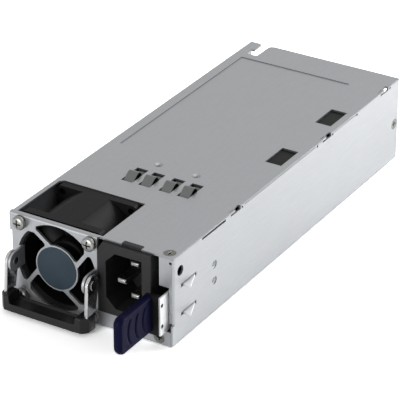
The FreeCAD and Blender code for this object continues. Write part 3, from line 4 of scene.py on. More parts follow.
import bmesh
import bpy
import numpy as np
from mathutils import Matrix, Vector


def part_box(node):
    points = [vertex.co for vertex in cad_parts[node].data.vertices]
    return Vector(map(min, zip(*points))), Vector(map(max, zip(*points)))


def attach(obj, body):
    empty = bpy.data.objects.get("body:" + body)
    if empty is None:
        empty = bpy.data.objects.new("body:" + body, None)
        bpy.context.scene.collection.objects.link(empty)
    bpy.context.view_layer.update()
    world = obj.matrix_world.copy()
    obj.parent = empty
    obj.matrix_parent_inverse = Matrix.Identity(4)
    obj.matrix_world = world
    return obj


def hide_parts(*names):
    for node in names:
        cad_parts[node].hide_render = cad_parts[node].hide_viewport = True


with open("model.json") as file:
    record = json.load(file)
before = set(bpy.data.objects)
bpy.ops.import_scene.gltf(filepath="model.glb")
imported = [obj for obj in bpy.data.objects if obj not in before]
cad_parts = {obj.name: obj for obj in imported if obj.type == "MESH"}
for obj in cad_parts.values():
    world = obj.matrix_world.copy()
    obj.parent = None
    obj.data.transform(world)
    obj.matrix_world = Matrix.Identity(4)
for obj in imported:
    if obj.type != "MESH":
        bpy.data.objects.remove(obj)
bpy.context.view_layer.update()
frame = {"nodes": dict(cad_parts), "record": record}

mm = 0.001
nodes = frame["nodes"]
slotOf = {entry["node"]: entry["material_slot"] for entry in frame["record"]["subparts"]}
bodies = frame["record"]["behaviour"]["bodies"]
bodyOf = {name: body for body, names in bodies.items() for name in names}
print("frame loaded:", len(nodes), "nodes")


# Mesh helpers: every new piece is one or more grids of points

def gridQuads(rows, columns, closeRows=False, closeColumns=False, start=0):
    # Quads between neighbouring points of a rows x columns grid, wrapped round where it closes
    r = np.arange(rows if closeRows else rows - 1)
    c = np.arange(columns if closeColumns else columns - 1)
    r, c = np.meshgrid(r, c, indexing="ij")
    nextRow = (r + 1) % rows
    nextColumn = (c + 1) % columns
    quads = np.stack([r * columns + c, nextRow * columns + c,
                      nextRow * columns + nextColumn, r * columns + nextColumn], -1)
    return quads.reshape(-1, 4) + start


def tubeOfSections(sections):
    # Closed skin over a row of closed sections, with a flat fan at each end
    rows, columns, _ = sections.shape
    quads = gridQuads(rows, columns, closeColumns=True)
    ends = np.stack([sections[0].mean(0), sections[-1].mean(0)])
    points = np.concatenate([sections.reshape(-1, 3), ends])
    ring = np.arange(columns)
    ahead = (ring + 1) % columns
    last = (rows - 1) * columns
    first = np.stack([np.full(columns, rows * columns), ring, ahead, ahead], -1)
    final = np.stack([np.full(columns, rows * columns + 1), last + ahead, last + ring, last + ring], -1)
    return points, np.concatenate([quads, first, final])


def makePiece(name, parts, body, material, sharp=40):
    # parts is a list of (points, quads); the piece gets clean outward faces and rides on a body
    points = np.concatenate([p for p, _ in parts])
    offsets = np.cumsum([0] + [len(p) for p, _ in parts[:-1]])
    faces = [list(dict.fromkeys(quad)) for (_, quads), offset in zip(parts, offsets)
             for quad in (quads + offset).tolist()]
    mesh = bpy.data.meshes.new(name)
    mesh.from_pydata((points * mm).tolist(), [], faces)
    work = bmesh.new()
    work.from_mesh(mesh)
    bmesh.ops.remove_doubles(work, verts=work.verts, dist=0.002 * mm)
    bmesh.ops.recalc_face_normals(work, faces=work.faces)
    work.to_mesh(mesh)
    work.free()
    mesh.polygons.foreach_set("use_smooth", np.ones(len(mesh.polygons), bool))
    mesh.set_sharp_from_angle(angle=math.radians(sharp))
    mesh.materials.append(material)
    piece = bpy.data.objects.new(name, mesh)
    bpy.context.scene.collection.objects.link(piece)
    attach(piece, body)
    return piece


def nodeBox(name):
    # Lowest and highest corner of a CAD node in millimetres
    low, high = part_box(name)
    return np.array(low) / mm, np.array(high) / mm


# Millimetres for merging, degrees for what counts as flat and as an edge
softEdge = {"mergeWithin": 0.001, "flatWithin": 0.3, "sharpFrom": 32}


def softened(name, width, segments):
    # A merged copy of a CAD node whose edges are rounded by a hair, so that they catch the light
    mesh = nodes[name].data.copy()
    work = bmesh.new()
    work.from_mesh(mesh)
    bmesh.ops.remove_doubles(work, verts=work.verts, dist=softEdge["mergeWithin"] * mm)
    bmesh.ops.dissolve_limit(work, angle_limit=math.radians(softEdge["flatWithin"]), verts=work.verts,
                             edges=work.edges)
    work.to_mesh(mesh)
    work.free()
    mesh.polygons.foreach_set("use_smooth", np.ones(len(mesh.polygons), bool))
    sharpFrom = math.radians(softEdge["sharpFrom"])
    mesh.set_sharp_from_angle(angle=sharpFrom)
    piece = bpy.data.objects.new(name + "Soft", mesh)
    bpy.context.scene.collection.objects.link(piece)
    bevel = piece.modifiers.new("edge", "BEVEL")
    bevel.width = width * mm
    bevel.segments = segments
    bevel.limit_method = "ANGLE"
    bevel.angle_limit = sharpFrom
    weighted = piece.modifiers.new("flat faces", "WEIGHTED_NORMAL")
    weighted.keep_sharp = True
    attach(piece, bodyOf[name])
    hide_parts(name)
    return piece


# Material helpers

def linearColour(hexCode):
    # sRGB hex to the linear colour that the shader wants
    channels = np.array([int(hexCode[i:i + 2], 16) for i in (1, 3, 5)]) / 255
    linear = np.where(channels <= 0.04045, channels / 12.92, ((channels + 0.055) / 1.055) ** 2.4)
    return (*linear.tolist(), 1.0)


def addNode(tree, kind, inputs=None, **settings):
    # One node with its settings; an input given as a socket is linked, any other is set
    node = tree.nodes.new(kind)
    for key, value in settings.items():
        setattr(node, key, value)
    for key, value in (inputs or {}).items():
        if isinstance(value, bpy.types.NodeSocket):
            tree.links.new(value, node.inputs[key])
        else:
            node.inputs[key].default_value = value
    return node


def patternLayer(tree, layer):
    # One pattern as a value from 0 to 1, its size in millimetres along each axis
    size = layer["size"]
    size = size if isinstance(size, tuple) else (size, size, size)
    where = addNode(tree, "ShaderNodeTexCoord").outputs["Object"]
    scale = [1 / (s * mm) for s in size]
    placed = addNode(tree, "ShaderNodeMapping", {"Vector": where, "Scale": scale}).outputs["Vector"]
    kind = layer.get("kind", "noise")
    if kind == "cells":
        found = addNode(tree, "ShaderNodeTexVoronoi", {"Vector": placed, "Scale": 1.0},
                        distance=layer.get("metric", "EUCLIDEAN"))
        value = found.outputs["Distance"]
    elif kind == "bands":
        oneBand = 1 / (2 * math.pi)   # a wave of scale 1 repeats every 2 pi
        found = addNode(tree, "ShaderNodeTexWave", {"Vector": placed, "Scale": oneBand},
                        bands_direction=layer.get("along", "Z"), wave_profile=layer.get("profile", "SIN"))
        value = found.outputs["Fac"]
    else:
        found = addNode(tree, "ShaderNodeTexNoise",
                        {"Vector": placed, "Scale": 1.0, "Detail": layer.get("detail", 3.0),
                         "Roughness": layer.get("mix", 0.55)})
        value = found.outputs["Fac"]
    low, high = layer.get("range", (0.3, 0.7))
    spread = addNode(tree, "ShaderNodeMapRange", {"Value": value, "From Min": low, "From Max": high},
                     clamp=True)
    return spread.outputs["Result"]


def makeFinish(name, recipe):
    # Principled surface; each layer moves the colour towards a second one, the roughness and the height
    material = bpy.data.materials.new(name)
    material.use_nodes = True
    tree = material.node_tree
    shader = tree.nodes["Principled BSDF"]
    for key, value in recipe.get("shader", {}).items():
        shader.inputs[key].default_value = value
    colour = addNode(tree, "ShaderNodeRGB").outputs[0]
    colour.default_value = linearColour(recipe["colour"])
    roughness = None
    normal = None
    for layer in recipe["layers"]:
        value = patternLayer(tree, layer)
        if "tint" in layer:
            amount = addNode(tree, "ShaderNodeMath", {0: value, 1: layer["amount"]}, operation="MULTIPLY")
            mixed = addNode(tree, "ShaderNodeMix", {"Factor": amount.outputs[0]}, data_type="RGBA")
            tree.links.new(colour, mixed.inputs[6])
            mixed.inputs[7].default_value = linearColour(layer["tint"])
            colour = mixed.outputs[2]
        if "rough" in layer:
            start = recipe["roughness"] if roughness is None else roughness
            centred = addNode(tree, "ShaderNodeMath", {0: value, 1: 0.5}, operation="SUBTRACT")
            varied = addNode(tree, "ShaderNodeMath", {0: centred.outputs[0], 1: layer["rough"], 2: start},
                             operation="MULTIPLY_ADD")
            roughness = varied.outputs[0]
        if "bump" in layer:
            bumped = addNode(tree, "ShaderNodeBump",
                             {"Height": value, "Distance": layer["bump"] * mm, "Strength": 1.0})
            if normal is not None:
                tree.links.new(normal, bumped.inputs["Normal"])
            normal = bumped.outputs["Normal"]
    tree.links.new(colour, shader.inputs["Base Color"])
    if roughness is None:
        shader.inputs["Roughness"].default_value = recipe["roughness"]
    else:
        tree.links.new(roughness, shader.inputs["Roughness"])
    if normal is not None:
        tree.links.new(normal, shader.inputs["Normal"])
    return material


metal = {"Metallic": 1.0}
finishes = {
    # Zinc plated cold rolled sheet: satin grey with faint rolling lines along the case and cloudy plating
    "case_steel": {"colour": "#95979A", "roughness": 0.38, "shader": {"Metallic": 0.62}, "layers": [
        {"size": (0.7, 9.0, 0.7), "tint": "#8D8F91", "amount": 0.35, "rough": 0.06, "bump": 0.003},
        {"size": 26.0, "detail": 2.0, "tint": "#8E9092", "amount": 0.35, "rough": 0.04},
        {"size": 0.8, "detail": 4.0, "tint": "#A1A3A5", "amount": 0.3, "bump": 0.003}]},
    # Printed polyester film: slate blue, dead flat, faint print grain
    "label_slate": {"colour": "#1F2C36", "roughness": 0.5, "shader": {"Specular IOR Level": 0.25},
        "layers": [
        {"size": 0.7, "tint": "#1A262E", "amount": 0.5, "rough": 0.08, "bump": 0.003},
        {"size": 9.0, "tint": "#263640", "amount": 0.5}]},
    # Bright nickel plated steel: clean highlights with turning marks
    "nickel_screw": {"colour": "#8A8A88", "roughness": 0.38, "shader": metal, "layers": [
        {"size": 0.6, "tint": "#747472", "amount": 0.5, "rough": 0.12, "bump": 0.004},
        {"size": 3.0, "tint": "#6C6C6A", "amount": 0.35}]},
    # Dark zinc nickel plate: grey brown metal, slightly patchy
    "dark_screw": {"colour": "#70716D", "roughness": 0.36, "shader": metal, "layers": [
        {"size": 0.7, "tint": "#555652", "amount": 0.6, "rough": 0.15, "bump": 0.005}]},
    # Open cell foam: matte black with pores
    "foam_black": {"colour": "#0B0B0B", "roughness": 0.9, "layers": [
        {"kind": "cells", "size": 0.7, "range": (0.1, 0.6), "tint": "#171717", "amount": 0.8,
         "bump": 0.12}]},
    # Glass filled black plastic: dull sheen, fine mould texture and faint flow marks
    "fan_black": {"colour": "#0B0B0B", "roughness": 0.5, "shader": {"Specular IOR Level": 0.08},
        "layers": [
        {"size": 0.6, "detail": 4.0, "tint": "#121212", "amount": 0.5, "rough": 0.14, "bump": 0.006},
        {"size": (3.0, 14.0, 3.0), "tint": "#131313", "amount": 0.6, "rough": 0.08}]},
    # Ground bearing steel: bright with fine lines
    "bearing_steel": {"colour": "#A5A6A8", "roughness": 0.25, "shader": metal, "layers": [
        {"size": (0.5, 3.0, 0.5), "tint": "#7E8082", "amount": 0.5, "rough": 0.1, "bump": 0.003}]},
    # Enamelled windings on the fan's stator: red brown wire lying side by side
    "stator_copper": {"colour": "#9A4F28", "roughness": 0.3, "shader": {"Metallic": 0.8},
        "layers": [
        {"kind": "bands", "along": "Y", "size": 0.35, "tint": "#5E2C14", "amount": 0.7, "bump": 0.06}]},
    # Bonded ferrite magnet: dark grey, chalky
    "magnet_grey": {"colour": "#3A3A3C", "roughness": 0.6, "layers": [
        {"size": 0.8, "tint": "#2A2A2B", "amount": 0.7, "rough": 0.2, "bump": 0.02}]},
    # Wire insulation: soft black with a slight wave
    "lead_black": {"colour": "#1B1B1C", "roughness": 0.5, "layers": [
        {"size": 2.0, "tint": "#2A2A2B", "amount": 0.5, "rough": 0.1, "bump": 0.03}]},
    # Wire insulation in brown
    "lead_brown": {"colour": "#4D2F20", "roughness": 0.48, "layers": [
        {"size": 2.0, "tint": "#3A2317", "amount": 0.5, "rough": 0.1, "bump": 0.03}]},
    # Nylon plug: milky white, slightly waxy
    "plug_white": {"colour": "#E4E0D4", "roughness": 0.42, "shader": {"Subsurface Weight": 0.1},
        "layers": [
        {"size": 1.5, "tint": "#D3CFC2", "amount": 0.5, "rough": 0.1, "bump": 0.01}]},
    # Spark eroded black moulding of the inlet: even fine grain that greys it where light grazes
    "inlet_black": {"colour": "#161616", "roughness": 0.55, "shader": {"Specular IOR Level": 0.22},
        "layers": [
        {"size": 0.55, "detail": 5.0, "mix": 0.7, "tint": "#252525", "amount": 0.6, "rough": 0.2,
         "bump": 0.012},
        {"size": 12.0, "tint": "#141414", "amount": 0.4}]},
    # Nickel plated brass blades: bright, drawn lengthwise
    "pin_nickel": {"colour": "#8E8D8A", "roughness": 0.3, "shader": metal, "layers": [
        {"size": (0.4, 6.0, 0.4), "tint": "#777673", "amount": 0.5, "rough": 0.12, "bump": 0.003}]},
    # Polished and chromed strap: mirror like, with shallow waves from polishing
    "handle_chrome": {"colour": "#B3B3B4", "roughness": 0.2, "shader": metal, "layers": [
        {"size": 2.2, "detail": 1.0, "tint": "#98989A", "amount": 0.4, "rough": 0.08, "bump": 0.03},
        {"size": 0.5, "rough": 0.04, "bump": 0.002}]},
    # Overmoulded black grip: soft gloss with rubbed high spots
    "grip_black": {"colour": "#121212", "roughness": 0.36, "shader": {"Specular IOR Level": 0.22},
        "layers": [
        {"size": 0.6, "detail": 4.0, "tint": "#1A1A1A", "amount": 0.6, "rough": 0.12, "bump": 0.006},
        {"size": 8.0, "tint": "#161616", "amount": 0.6, "rough": 0.1}]},
    # Hardened spring strip of the latch: brighter than the case, brushed along its length
    "latch_steel": {"colour": "#D6D7D8", "roughness": 0.4, "shader": {"Metallic": 0.45}, "layers": [
        {"size": (0.6, 12.0, 0.6), "tint": "#C6C8CA", "amount": 0.4, "rough": 0.08, "bump": 0.002}]},
    # Black carrier moulding: matte with fine grain
    "carrier_black": {"colour": "#101010", "roughness": 0.5, "shader": {"Specular IOR Level": 0.12},
        "layers": [
        {"size": 0.6, "detail": 4.0, "tint": "#181818", "amount": 0.5, "rough": 0.14, "bump": 0.008}]},
    # Coloured touch point: deep blue violet moulding, satin, with a fine grain
    "tab_violet": {"colour": "#0A0A24", "roughness": 0.46, "shader": {"Specular IOR Level": 0.03},
        "layers": [
        {"size": 0.6, "detail": 4.0, "tint": "#131333", "amount": 0.4, "rough": 0.14, "bump": 0.006},
        {"size": 7.0, "tint": "#0A0A20", "amount": 0.5, "rough": 0.06}]},
    # Stainless contact strip: grey with drawn lines along the fingers
    "spring_steel": {"colour": "#6B6D6C", "roughness": 0.34, "shader": {"Metallic": 0.75},
        "layers": [
        {"size": (0.5, 5.0, 0.9), "tint": "#606362", "amount": 0.6, "rough": 0.14, "bump": 0.004}]},
    # Insulating film: dark green black, slightly glossy and wavy
    "film_black": {"colour": "#1D1F1D", "roughness": 0.55, "shader": {"Specular IOR Level": 0.05},
        "layers": [
        {"size": 14.0, "detail": 1.0, "tint": "#242624", "amount": 0.6, "rough": 0.1, "bump": 0.05},
        {"size": 0.7, "tint": "#181A18", "amount": 0.4, "bump": 0.003}]},
    # Solder mask over copper: glossy green with raised traces in steps
    "board_green": {"colour": "#0F4B2A", "roughness": 0.28, "layers": [
        {"kind": "cells", "metric": "MANHATTAN", "size": (3.0, 4.5, 3.0), "range": (0.42, 0.5),
         "tint": "#1C6A3D", "amount": 0.8, "bump": 0.03},
        {"size": 0.8, "tint": "#0B3B21", "amount": 0.4, "rough": 0.12}]},
    # Hard gold on the card edge: warm metal with insertion marks along it
    "contact_gold": {"colour": "#D9AF5A", "roughness": 0.24, "shader": metal, "layers": [
        {"size": (0.3, 6.0, 0.3), "tint": "#B98E3F", "amount": 0.5, "rough": 0.16, "bump": 0.003}]},
    # Sintered ferrite: charcoal with a fine dry grain
    "ferrite_grey": {"colour": "#353638", "roughness": 0.55, "layers": [
        {"size": 0.7, "detail": 5.0, "tint": "#232425", "amount": 0.7, "rough": 0.2, "bump": 0.03}]},
    # Enamelled copper turns: amber brown and shiny
    "enamel_copper": {"colour": "#A9592B", "roughness": 0.2, "shader": {"Metallic": 0.85},
        "layers": [
        {"size": 1.2, "tint": "#7E3D1B", "amount": 0.6, "rough": 0.1, "bump": 0.01}]},
    # Moulded epoxy: matte charcoal
    "package_black": {"colour": "#202022", "roughness": 0.62, "layers": [
        {"size": 0.6, "tint": "#2E2E30", "amount": 0.6, "rough": 0.15, "bump": 0.01}]},
    # Box capacitor: ochre moulded case, glossy
    "capacitor_yellow": {"colour": "#C49A2C", "roughness": 0.3, "layers": [
        {"size": 5.0, "tint": "#B0871F", "amount": 0.6, "rough": 0.1, "bump": 0.02}]},
    # Relay case: blue moulded plastic
    "relay_blue": {"colour": "#1F4273", "roughness": 0.36, "layers": [
        {"size": 0.8, "tint": "#183660", "amount": 0.6, "rough": 0.12, "bump": 0.008}]},
    # Ceramic fuse body: off white glaze
    "fuse_ceramic": {"colour": "#E2DED2", "roughness": 0.25, "layers": [
        {"size": 1.5, "tint": "#CFCABD", "amount": 0.6, "rough": 0.12, "bump": 0.01}]},
    # Shrink sleeve on a can: dark blue black with faint wrinkles round it
    "can_sleeve": {"colour": "#1B1F2C", "roughness": 0.3, "layers": [
        {"size": (5.0, 5.0, 1.2), "detail": 2.0, "tint": "#262B3B", "amount": 0.6, "rough": 0.14,
         "bump": 0.04}]},
    # Extruded aluminium: pale, with die lines along the fins
    "sink_aluminium": {"colour": "#C3C5C7", "roughness": 0.34, "shader": metal, "layers": [
        {"size": (0.7, 20.0, 0.7), "tint": "#A6A8AA", "amount": 0.6, "rough": 0.12, "bump": 0.006}]},
    # Polyester tape over a coil: yellow with overlapping edges
    "winding_tape": {"colour": "#C9A13A", "roughness": 0.32, "layers": [
        {"kind": "bands", "along": "Z", "size": 2.4, "profile": "SAW", "tint": "#A88328", "amount": 0.6,
         "bump": 0.08}]},
}
materials = {name: makeFinish(name, recipe) for name, recipe in finishes.items()}
for name, slotName in slotOf.items():
    mesh = nodes[name].data
    mesh.materials.clear()
    mesh.materials.append(materials[slotName])
print("finishes made:", len(materials))

# How far each node's edges are rounded, in millimetres
edgeWidths = {
    "top_cover": 0.08, "chassis_base": 0.12, "front_panel": 0.12, "rear_panel": 0.12,
    "inlet_housing": 0.25, "inlet_pins": 0.12, "handle_bracket": 0.42, "handle_pins": 0.12,
    "latch_leaf": 0.12, "latch_carrier": 0.3, "latch_root": 0.1, "latch_rivets": 0.1,
    "fan_frame": 0.25, "label_disc": 0.08, "main_board": 0.08, "primary_heatsink": 0.15,
    "output_heatsink": 0.15, "transformer_core": 0.3, "transformer_winding": 0.2,
    "bulk_capacitors": 0.2, "output_capacitors": 0.15, "grounding_rivets": 0.08,
    "choke_bases": 0.15, "bridge_rectifier": 0.2, "control_card": 0.08, "fan_plug": 0.2,
    "inlet_fuse": 0.2, "filter_capacitor": 0.3, "surge_relay": 0.3, "fan_gasket": 0.15,
    "board_standoffs": 0.1, "board_screws": 0.12, "insulator_film": 0.05,
}
wideEdge = 0.3   # above this an edge is rounded in three steps, else in two
softPieces = {name: softened(name, width, segments=3 if width > wideEdge else 2)
              for name, width in edgeWidths.items()}
print("edges softened:", len(softPieces))


# Release tab: a rounded paddle with three crescent grooves on its outer face

tab = {"cornerRadius": 3.2, "edgeRadius": 1.35, "grooveRadius": 9.5, "grooveWidth": 0.75,
       "grooveDepth": 0.55, "grooveSpan": 11.4, "firstGroove": 5.2, "groovePitch": 5.0, "grooves": 3,
       "grooveFade": 0.8, "grooveFall": 1.6, "rearEdge": 0.25, "rearSlope": 2.5, "rows": 190,
       "columns": 110}


def tabFace(low, high, side):
    # x = middle + side * half thickness * sqrt(1 - (1 - d / r)^2), where d is the distance in from the
    # rounded outline, less a round bottomed groove along each arc
    halfThick = (high[0] - low[0]) / 2
    middle = (low + high) / 2
    y = np.linspace(low[1], high[1], tab["rows"])
    v = np.sin(np.linspace(-1, 1, tab["columns"]) * math.pi / 2)
    y, v = np.meshgrid(y, v, indexing="ij")
    halfWidth = (high[2] - low[2]) / 2
    r = tab["cornerRadius"]
    intoCorner = np.clip(r - (y - low[1]), 0, r)
    reach = halfWidth - r + np.sqrt(np.maximum(r * r - intoCorner ** 2, 0))
    z = v * reach
    ahead = np.maximum(r - (y - low[1]), 0)
    beside = np.maximum(np.abs(z) - (halfWidth - r), 0)
    inside = np.minimum(np.minimum(y - low[1], halfWidth - np.abs(z)),
                        np.where((ahead > 0) & (beside > 0), r - np.hypot(ahead, beside), np.inf))
    inside = np.minimum(inside, (high[1] - y) * tab["rearSlope"] + tab["rearEdge"])
    e = tab["edgeRadius"]
    rise = np.sqrt(1 - (1 - np.clip(inside / e, 0, 1)) ** 2)
    x = halfThick * rise
    if side > 0:
        for i in range(tab["grooves"]):
            centre = low[1] + tab["firstGroove"] + i * tab["groovePitch"] + tab["grooveRadius"]
            away = np.hypot(y - centre, z) - tab["grooveRadius"]
            fade = np.clip((tab["grooveSpan"] / 2 - np.abs(z)) / tab["grooveFade"], 0, 1)
            fall = np.exp(-(away / tab["grooveWidth"] * tab["grooveFall"]) ** 2)
            x = x - tab["grooveDepth"] * ((y < centre) * fade) * fall
    return np.stack([middle[0] + side * x, y, middle[2] + z], -1)


low, high = nodeBox("release_tab")
parts = []
for side in (1, -1):
    face = tabFace(low, high, side)
    parts.append((face.reshape(-1, 3), gridQuads(*face.shape[:2])))
rear = [tabFace(low, high, side)[-1] for side in (1, -1)]
closing = np.stack(rear)
parts.append((closing.reshape(-1, 3), gridQuads(*closing.shape[:2])))
releaseTab = makePiece("releaseTab", parts, "latch", materials["tab_violet"], sharp=50)
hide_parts("release_tab")
print("release tab made")


# Handle grip: one moulding with a finger trough between two higher end blocks

grip = {"barHeight": 3.6, "blockWidth": 4.6, "blend": 0.7, "endCorner": 2.4, "rim": 0.75,
        "rimShare": 0.6, "troughDepth": 0.85, "troughLip": 1.5, "topFrom": 0.8, "squareness": 0.18,
        "endSteps": (0, 0.1, 0.3, 0.6), "endRun": 1.0, "slices": 150, "around": 120}


def gripSections(low, high):
    # Rounded rectangles along x; their top steps up at the ends, their front draws in at the corners,
    # and their top edge dips in the middle to make the trough
    ends = np.array(grip["endSteps"])
    along = np.linspace(low[0] + grip["endRun"], high[0] - grip["endRun"], grip["slices"])
    x = np.concatenate([low[0] + ends, along, high[0] - ends[::-1]])
    fromEnd = np.minimum(x - low[0], high[0] - x)
    height = high[2] - low[2]
    toBlock = np.clip((grip["blockWidth"] + grip["blend"] - fromEnd) / grip["blend"], 0, 1)
    toBlock = toBlock * toBlock * (3 - 2 * toBlock)
    top = grip["barHeight"] + (height - grip["barHeight"]) * toBlock
    front = low[1] + np.clip(grip["endCorner"] - fromEnd, 0, None)
    intoRim = 1 - np.clip(fromEnd / grip["rim"], 0, 1)
    inset = grip["rim"] * (1 - np.sqrt(1 - intoRim ** 2)) * grip["rimShare"]
    angle = np.linspace(0, 2 * math.pi, grip["around"], endpoint=False)
    across = np.sign(np.cos(angle)) * np.abs(np.cos(angle)) ** grip["squareness"]
    upward = np.sign(np.sin(angle)) * np.abs(np.sin(angle)) ** grip["squareness"]
    halfDepth = ((high[1] - front) / 2 - inset)[:, None]
    halfHeight = (top / 2 - inset)[:, None]
    y = (front + high[1])[:, None] / 2 + halfDepth * across[None, :]
    z = low[2] + top[:, None] / 2 + halfHeight * upward[None, :]
    width = np.clip((1 - np.abs(across)) * halfDepth / grip["troughLip"], 0, 1)
    dip = np.where(upward > grip["topFrom"], width * width * (3 - 2 * width), 0) * (1 - toBlock)[:, None]
    z = z - grip["troughDepth"] * dip
    return np.stack([np.broadcast_to(x[:, None], y.shape), y, z], -1)


low, high = nodeBox("handle_grip")
handleGrip = makePiece("handleGrip", [tubeOfSections(gripSections(low, high))], "handle",
                       materials["grip_black"], sharp=55)
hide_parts("handle_grip")
print("handle grip made")


# Fan wheel: rounded hub and seven twisted blades with an aerofoil section

fanWheel = {"blades": 7, "tipRadius": 16.8, "hubRadius": 9.0, "noseRadius": 1.6, "chordRoot": 11.5,
            "chordTip": 15.5, "tiltRoot": 38.0, "tiltTip": 57.0, "thickness": 1.3, "camber": 1.7,
            "bladeMiddle": 9.2, "sweep": 10.0, "rootSink": 0.4, "wall": 0.8, "cap": 1.2,
            "thinToTip": 0.45, "thinToTail": 0.7, "spanSteps": 22, "aroundSteps": 44}


def bladeSections(turn):
    # A section at radius r: chord line tilted from the fan's axis, camber 4c(1-c), thickness fading to
    # the tail; the sections are wrapped on their own cylinders and swept forward with the radius
    span = np.linspace(0, 1, fanWheel["spanSteps"])
    around = np.linspace(0, 2 * math.pi, fanWheel["aroundSteps"], endpoint=False)
    chordwise = (1 - np.cos(around)) / 2
    side = np.sign(np.sin(around)) * np.sqrt(np.abs(np.sin(around)))
    root = fanWheel["hubRadius"] - fanWheel["rootSink"]
    radius = root + span * (fanWheel["tipRadius"] - root)
    chord = fanWheel["chordRoot"] + span * (fanWheel["chordTip"] - fanWheel["chordRoot"])
    tilt = np.radians(fanWheel["tiltRoot"] + span * (fanWheel["tiltTip"] - fanWheel["tiltRoot"]))
    thick = fanWheel["thickness"] * (1 - fanWheel["thinToTip"] * span)
    along = (chordwise[None, :] - 0.5) * chord[:, None]
    bulge = fanWheel["camber"] * 4 * (chordwise * (1 - chordwise))[None, :]
    taper = side * (1 - fanWheel["thinToTail"] * chordwise)
    offset = bulge + taper[None, :] * thick[:, None] / 2
    tangent = along * np.sin(tilt)[:, None] + offset * np.cos(tilt)[:, None]
    axial = along * np.cos(tilt)[:, None] - offset * np.sin(tilt)[:, None]
    angle = turn + np.radians(fanWheel["sweep"]) * span[:, None] + tangent / radius[:, None]
    return radius[:, None] * np.sin(angle), axial, radius[:, None] * np.cos(angle)


def latheSkin(profile, turns=72):
    # A profile of (radius, distance) turned about the y axis
    angle = np.linspace(0, 2 * math.pi, turns, endpoint=False)
    radius, along = np.array(profile, float).T
    skin = np.stack([radius[None, :] * np.sin(angle)[:, None],
                     np.broadcast_to(along[None, :], (turns, len(along))),
                     radius[None, :] * np.cos(angle)[:, None]], -1)
    return skin.reshape(-1, 3), gridQuads(turns, len(along), closeRows=True)


low, high = nodeBox("fan_impeller")
fanCentre = (low + high) / 2
hubFront, hubRear = low[1], high[1]
noseTurn = np.linspace(0, math.pi / 2, 9)
r, nose = fanWheel["hubRadius"], fanWheel["noseRadius"]
onAxis = 0.001   # a ring this small is merged to a point
rounding = [(r - nose + nose * math.sin(t), hubFront + nose - nose * math.cos(t)) for t in noseTurn]
inner, capRear = r - fanWheel["wall"], hubFront + fanWheel["cap"]
hubProfile = [(onAxis, hubFront), *rounding, (r, hubRear), (inner, hubRear), (inner, capRear),
              (onAxis, capRear)]
points, quads = latheSkin(hubProfile)
parts = [(points + [fanCentre[0], 0, fanCentre[2]], quads)]
for i in range(fanWheel["blades"]):
    x, y, z = bladeSections(2 * math.pi * i / fanWheel["blades"])
    blade = np.stack([fanCentre[0] + x, hubFront + fanWheel["bladeMiddle"] + y, fanCentre[2] + z], -1)
    parts.append(tubeOfSections(blade))
fanBlades = makePiece("fanBlades", parts, "fan_rotor", materials["fan_black"], sharp=45)
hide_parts("fan_impeller")
print("fan wheel made")


# Contact fingers: four sprung strips that rise through the roof and come back to the riveted strip

fingers = {"thickness": 0.32, "width": 4.4, "crown": 0.04, "starts": (-14.2, -6.3, 3.0, 11.4),
           "window": 5.2, "stripFront": 56.0, "stripThickness": 0.3, "stripGap": 0.02, "roofSheet": 0.8,
           "columns": 9}


def bentPath(points, bend=0.35):
    # Straight runs between the points, each corner cut twice so that it reads as a small bend
    p = np.array(points, float)
    for _ in range(2):
        run = np.diff(p, axis=0)
        length = np.linalg.norm(run, axis=1)[:, None]
        step = run / length * np.minimum(bend, length * 0.3)
        corners = np.stack([p[1:-1] - step[:-1], p[1:-1] + step[1:]], 1).reshape(-1, 2)
        p = np.concatenate([p[:1], corners, p[-1:]])
        bend = bend / 2
    return p


def fingerStrip(path, left, width):
    # The path in (y, z) given thickness on its lower side and carried across the width with a crown
    slope = np.gradient(path, axis=0)
    slope /= np.linalg.norm(slope, axis=1)[:, None]
    normal = np.stack([-slope[:, 1], slope[:, 0]], -1)
    across = np.linspace(-1, 1, fingers["columns"])
    upper, lower = path, path - normal * fingers["thickness"]
    sheets = []
    for line in (upper, lower):
        y = np.broadcast_to(line[:, 0:1], (len(line), len(across)))
        z = line[:, 1:2] - fingers["crown"] * across[None, :] ** 2
        x = np.broadcast_to(left + (across + 1) * width / 2, y.shape)
        sheets.append(np.stack([x, y, z], -1))
    return tubeOfSections(np.concatenate([sheets[0], sheets[1][:, ::-1]], 1))


springLow, springHigh = nodeBox("grounding_spring")
roofLow, roofHigh = nodeBox("top_cover")
roofTop = roofHigh[2]
frontEdge = roofLow[1]
crest = springHigh[2]
roofUnder = roofTop - fingers["roofSheet"]
# Up through the window, over the crest, down below the roof and back up to the strip
fingerPath = bentPath([(frontEdge + 43.3, roofUnder - 1.3), (frontEdge + 43.6, roofUnder - 0.1),
                       (frontEdge + 47.3, crest - 0.35), (frontEdge + 48.6, crest),
                       (frontEdge + 50.2, crest - 0.9), (frontEdge + 51.4, roofUnder - 1.1),
                       (frontEdge + 53.8, roofUnder - 1.5), (frontEdge + 55.2, roofUnder - 0.3),
                       (frontEdge + 56.4, roofUnder - 0.05)])
parts = []
for start in fingers["starts"]:
    left = start + (fingers["window"] - fingers["width"]) / 2
    parts.append(fingerStrip(fingerPath, left, fingers["width"]))
front, rear = frontEdge + fingers["stripFront"], springHigh[1]
top = roofUnder - fingers["stripGap"]
bottom = top - fingers["stripThickness"]
section = np.array([(front, bottom), (rear, bottom), (rear, top), (front, top)])
strip = np.stack([np.concatenate([np.full((4, 1), x), section], 1) for x in (springLow[0], springHigh[0])])
parts.append(tubeOfSections(strip))
contactFingers = makePiece("contactFingers", parts, "case", materials["spring_steel"], sharp=35)
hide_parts("grounding_spring")
print("contact fingers made")


# Screws: heads are polar grids with a cross pressed into them; the split washers are short helices

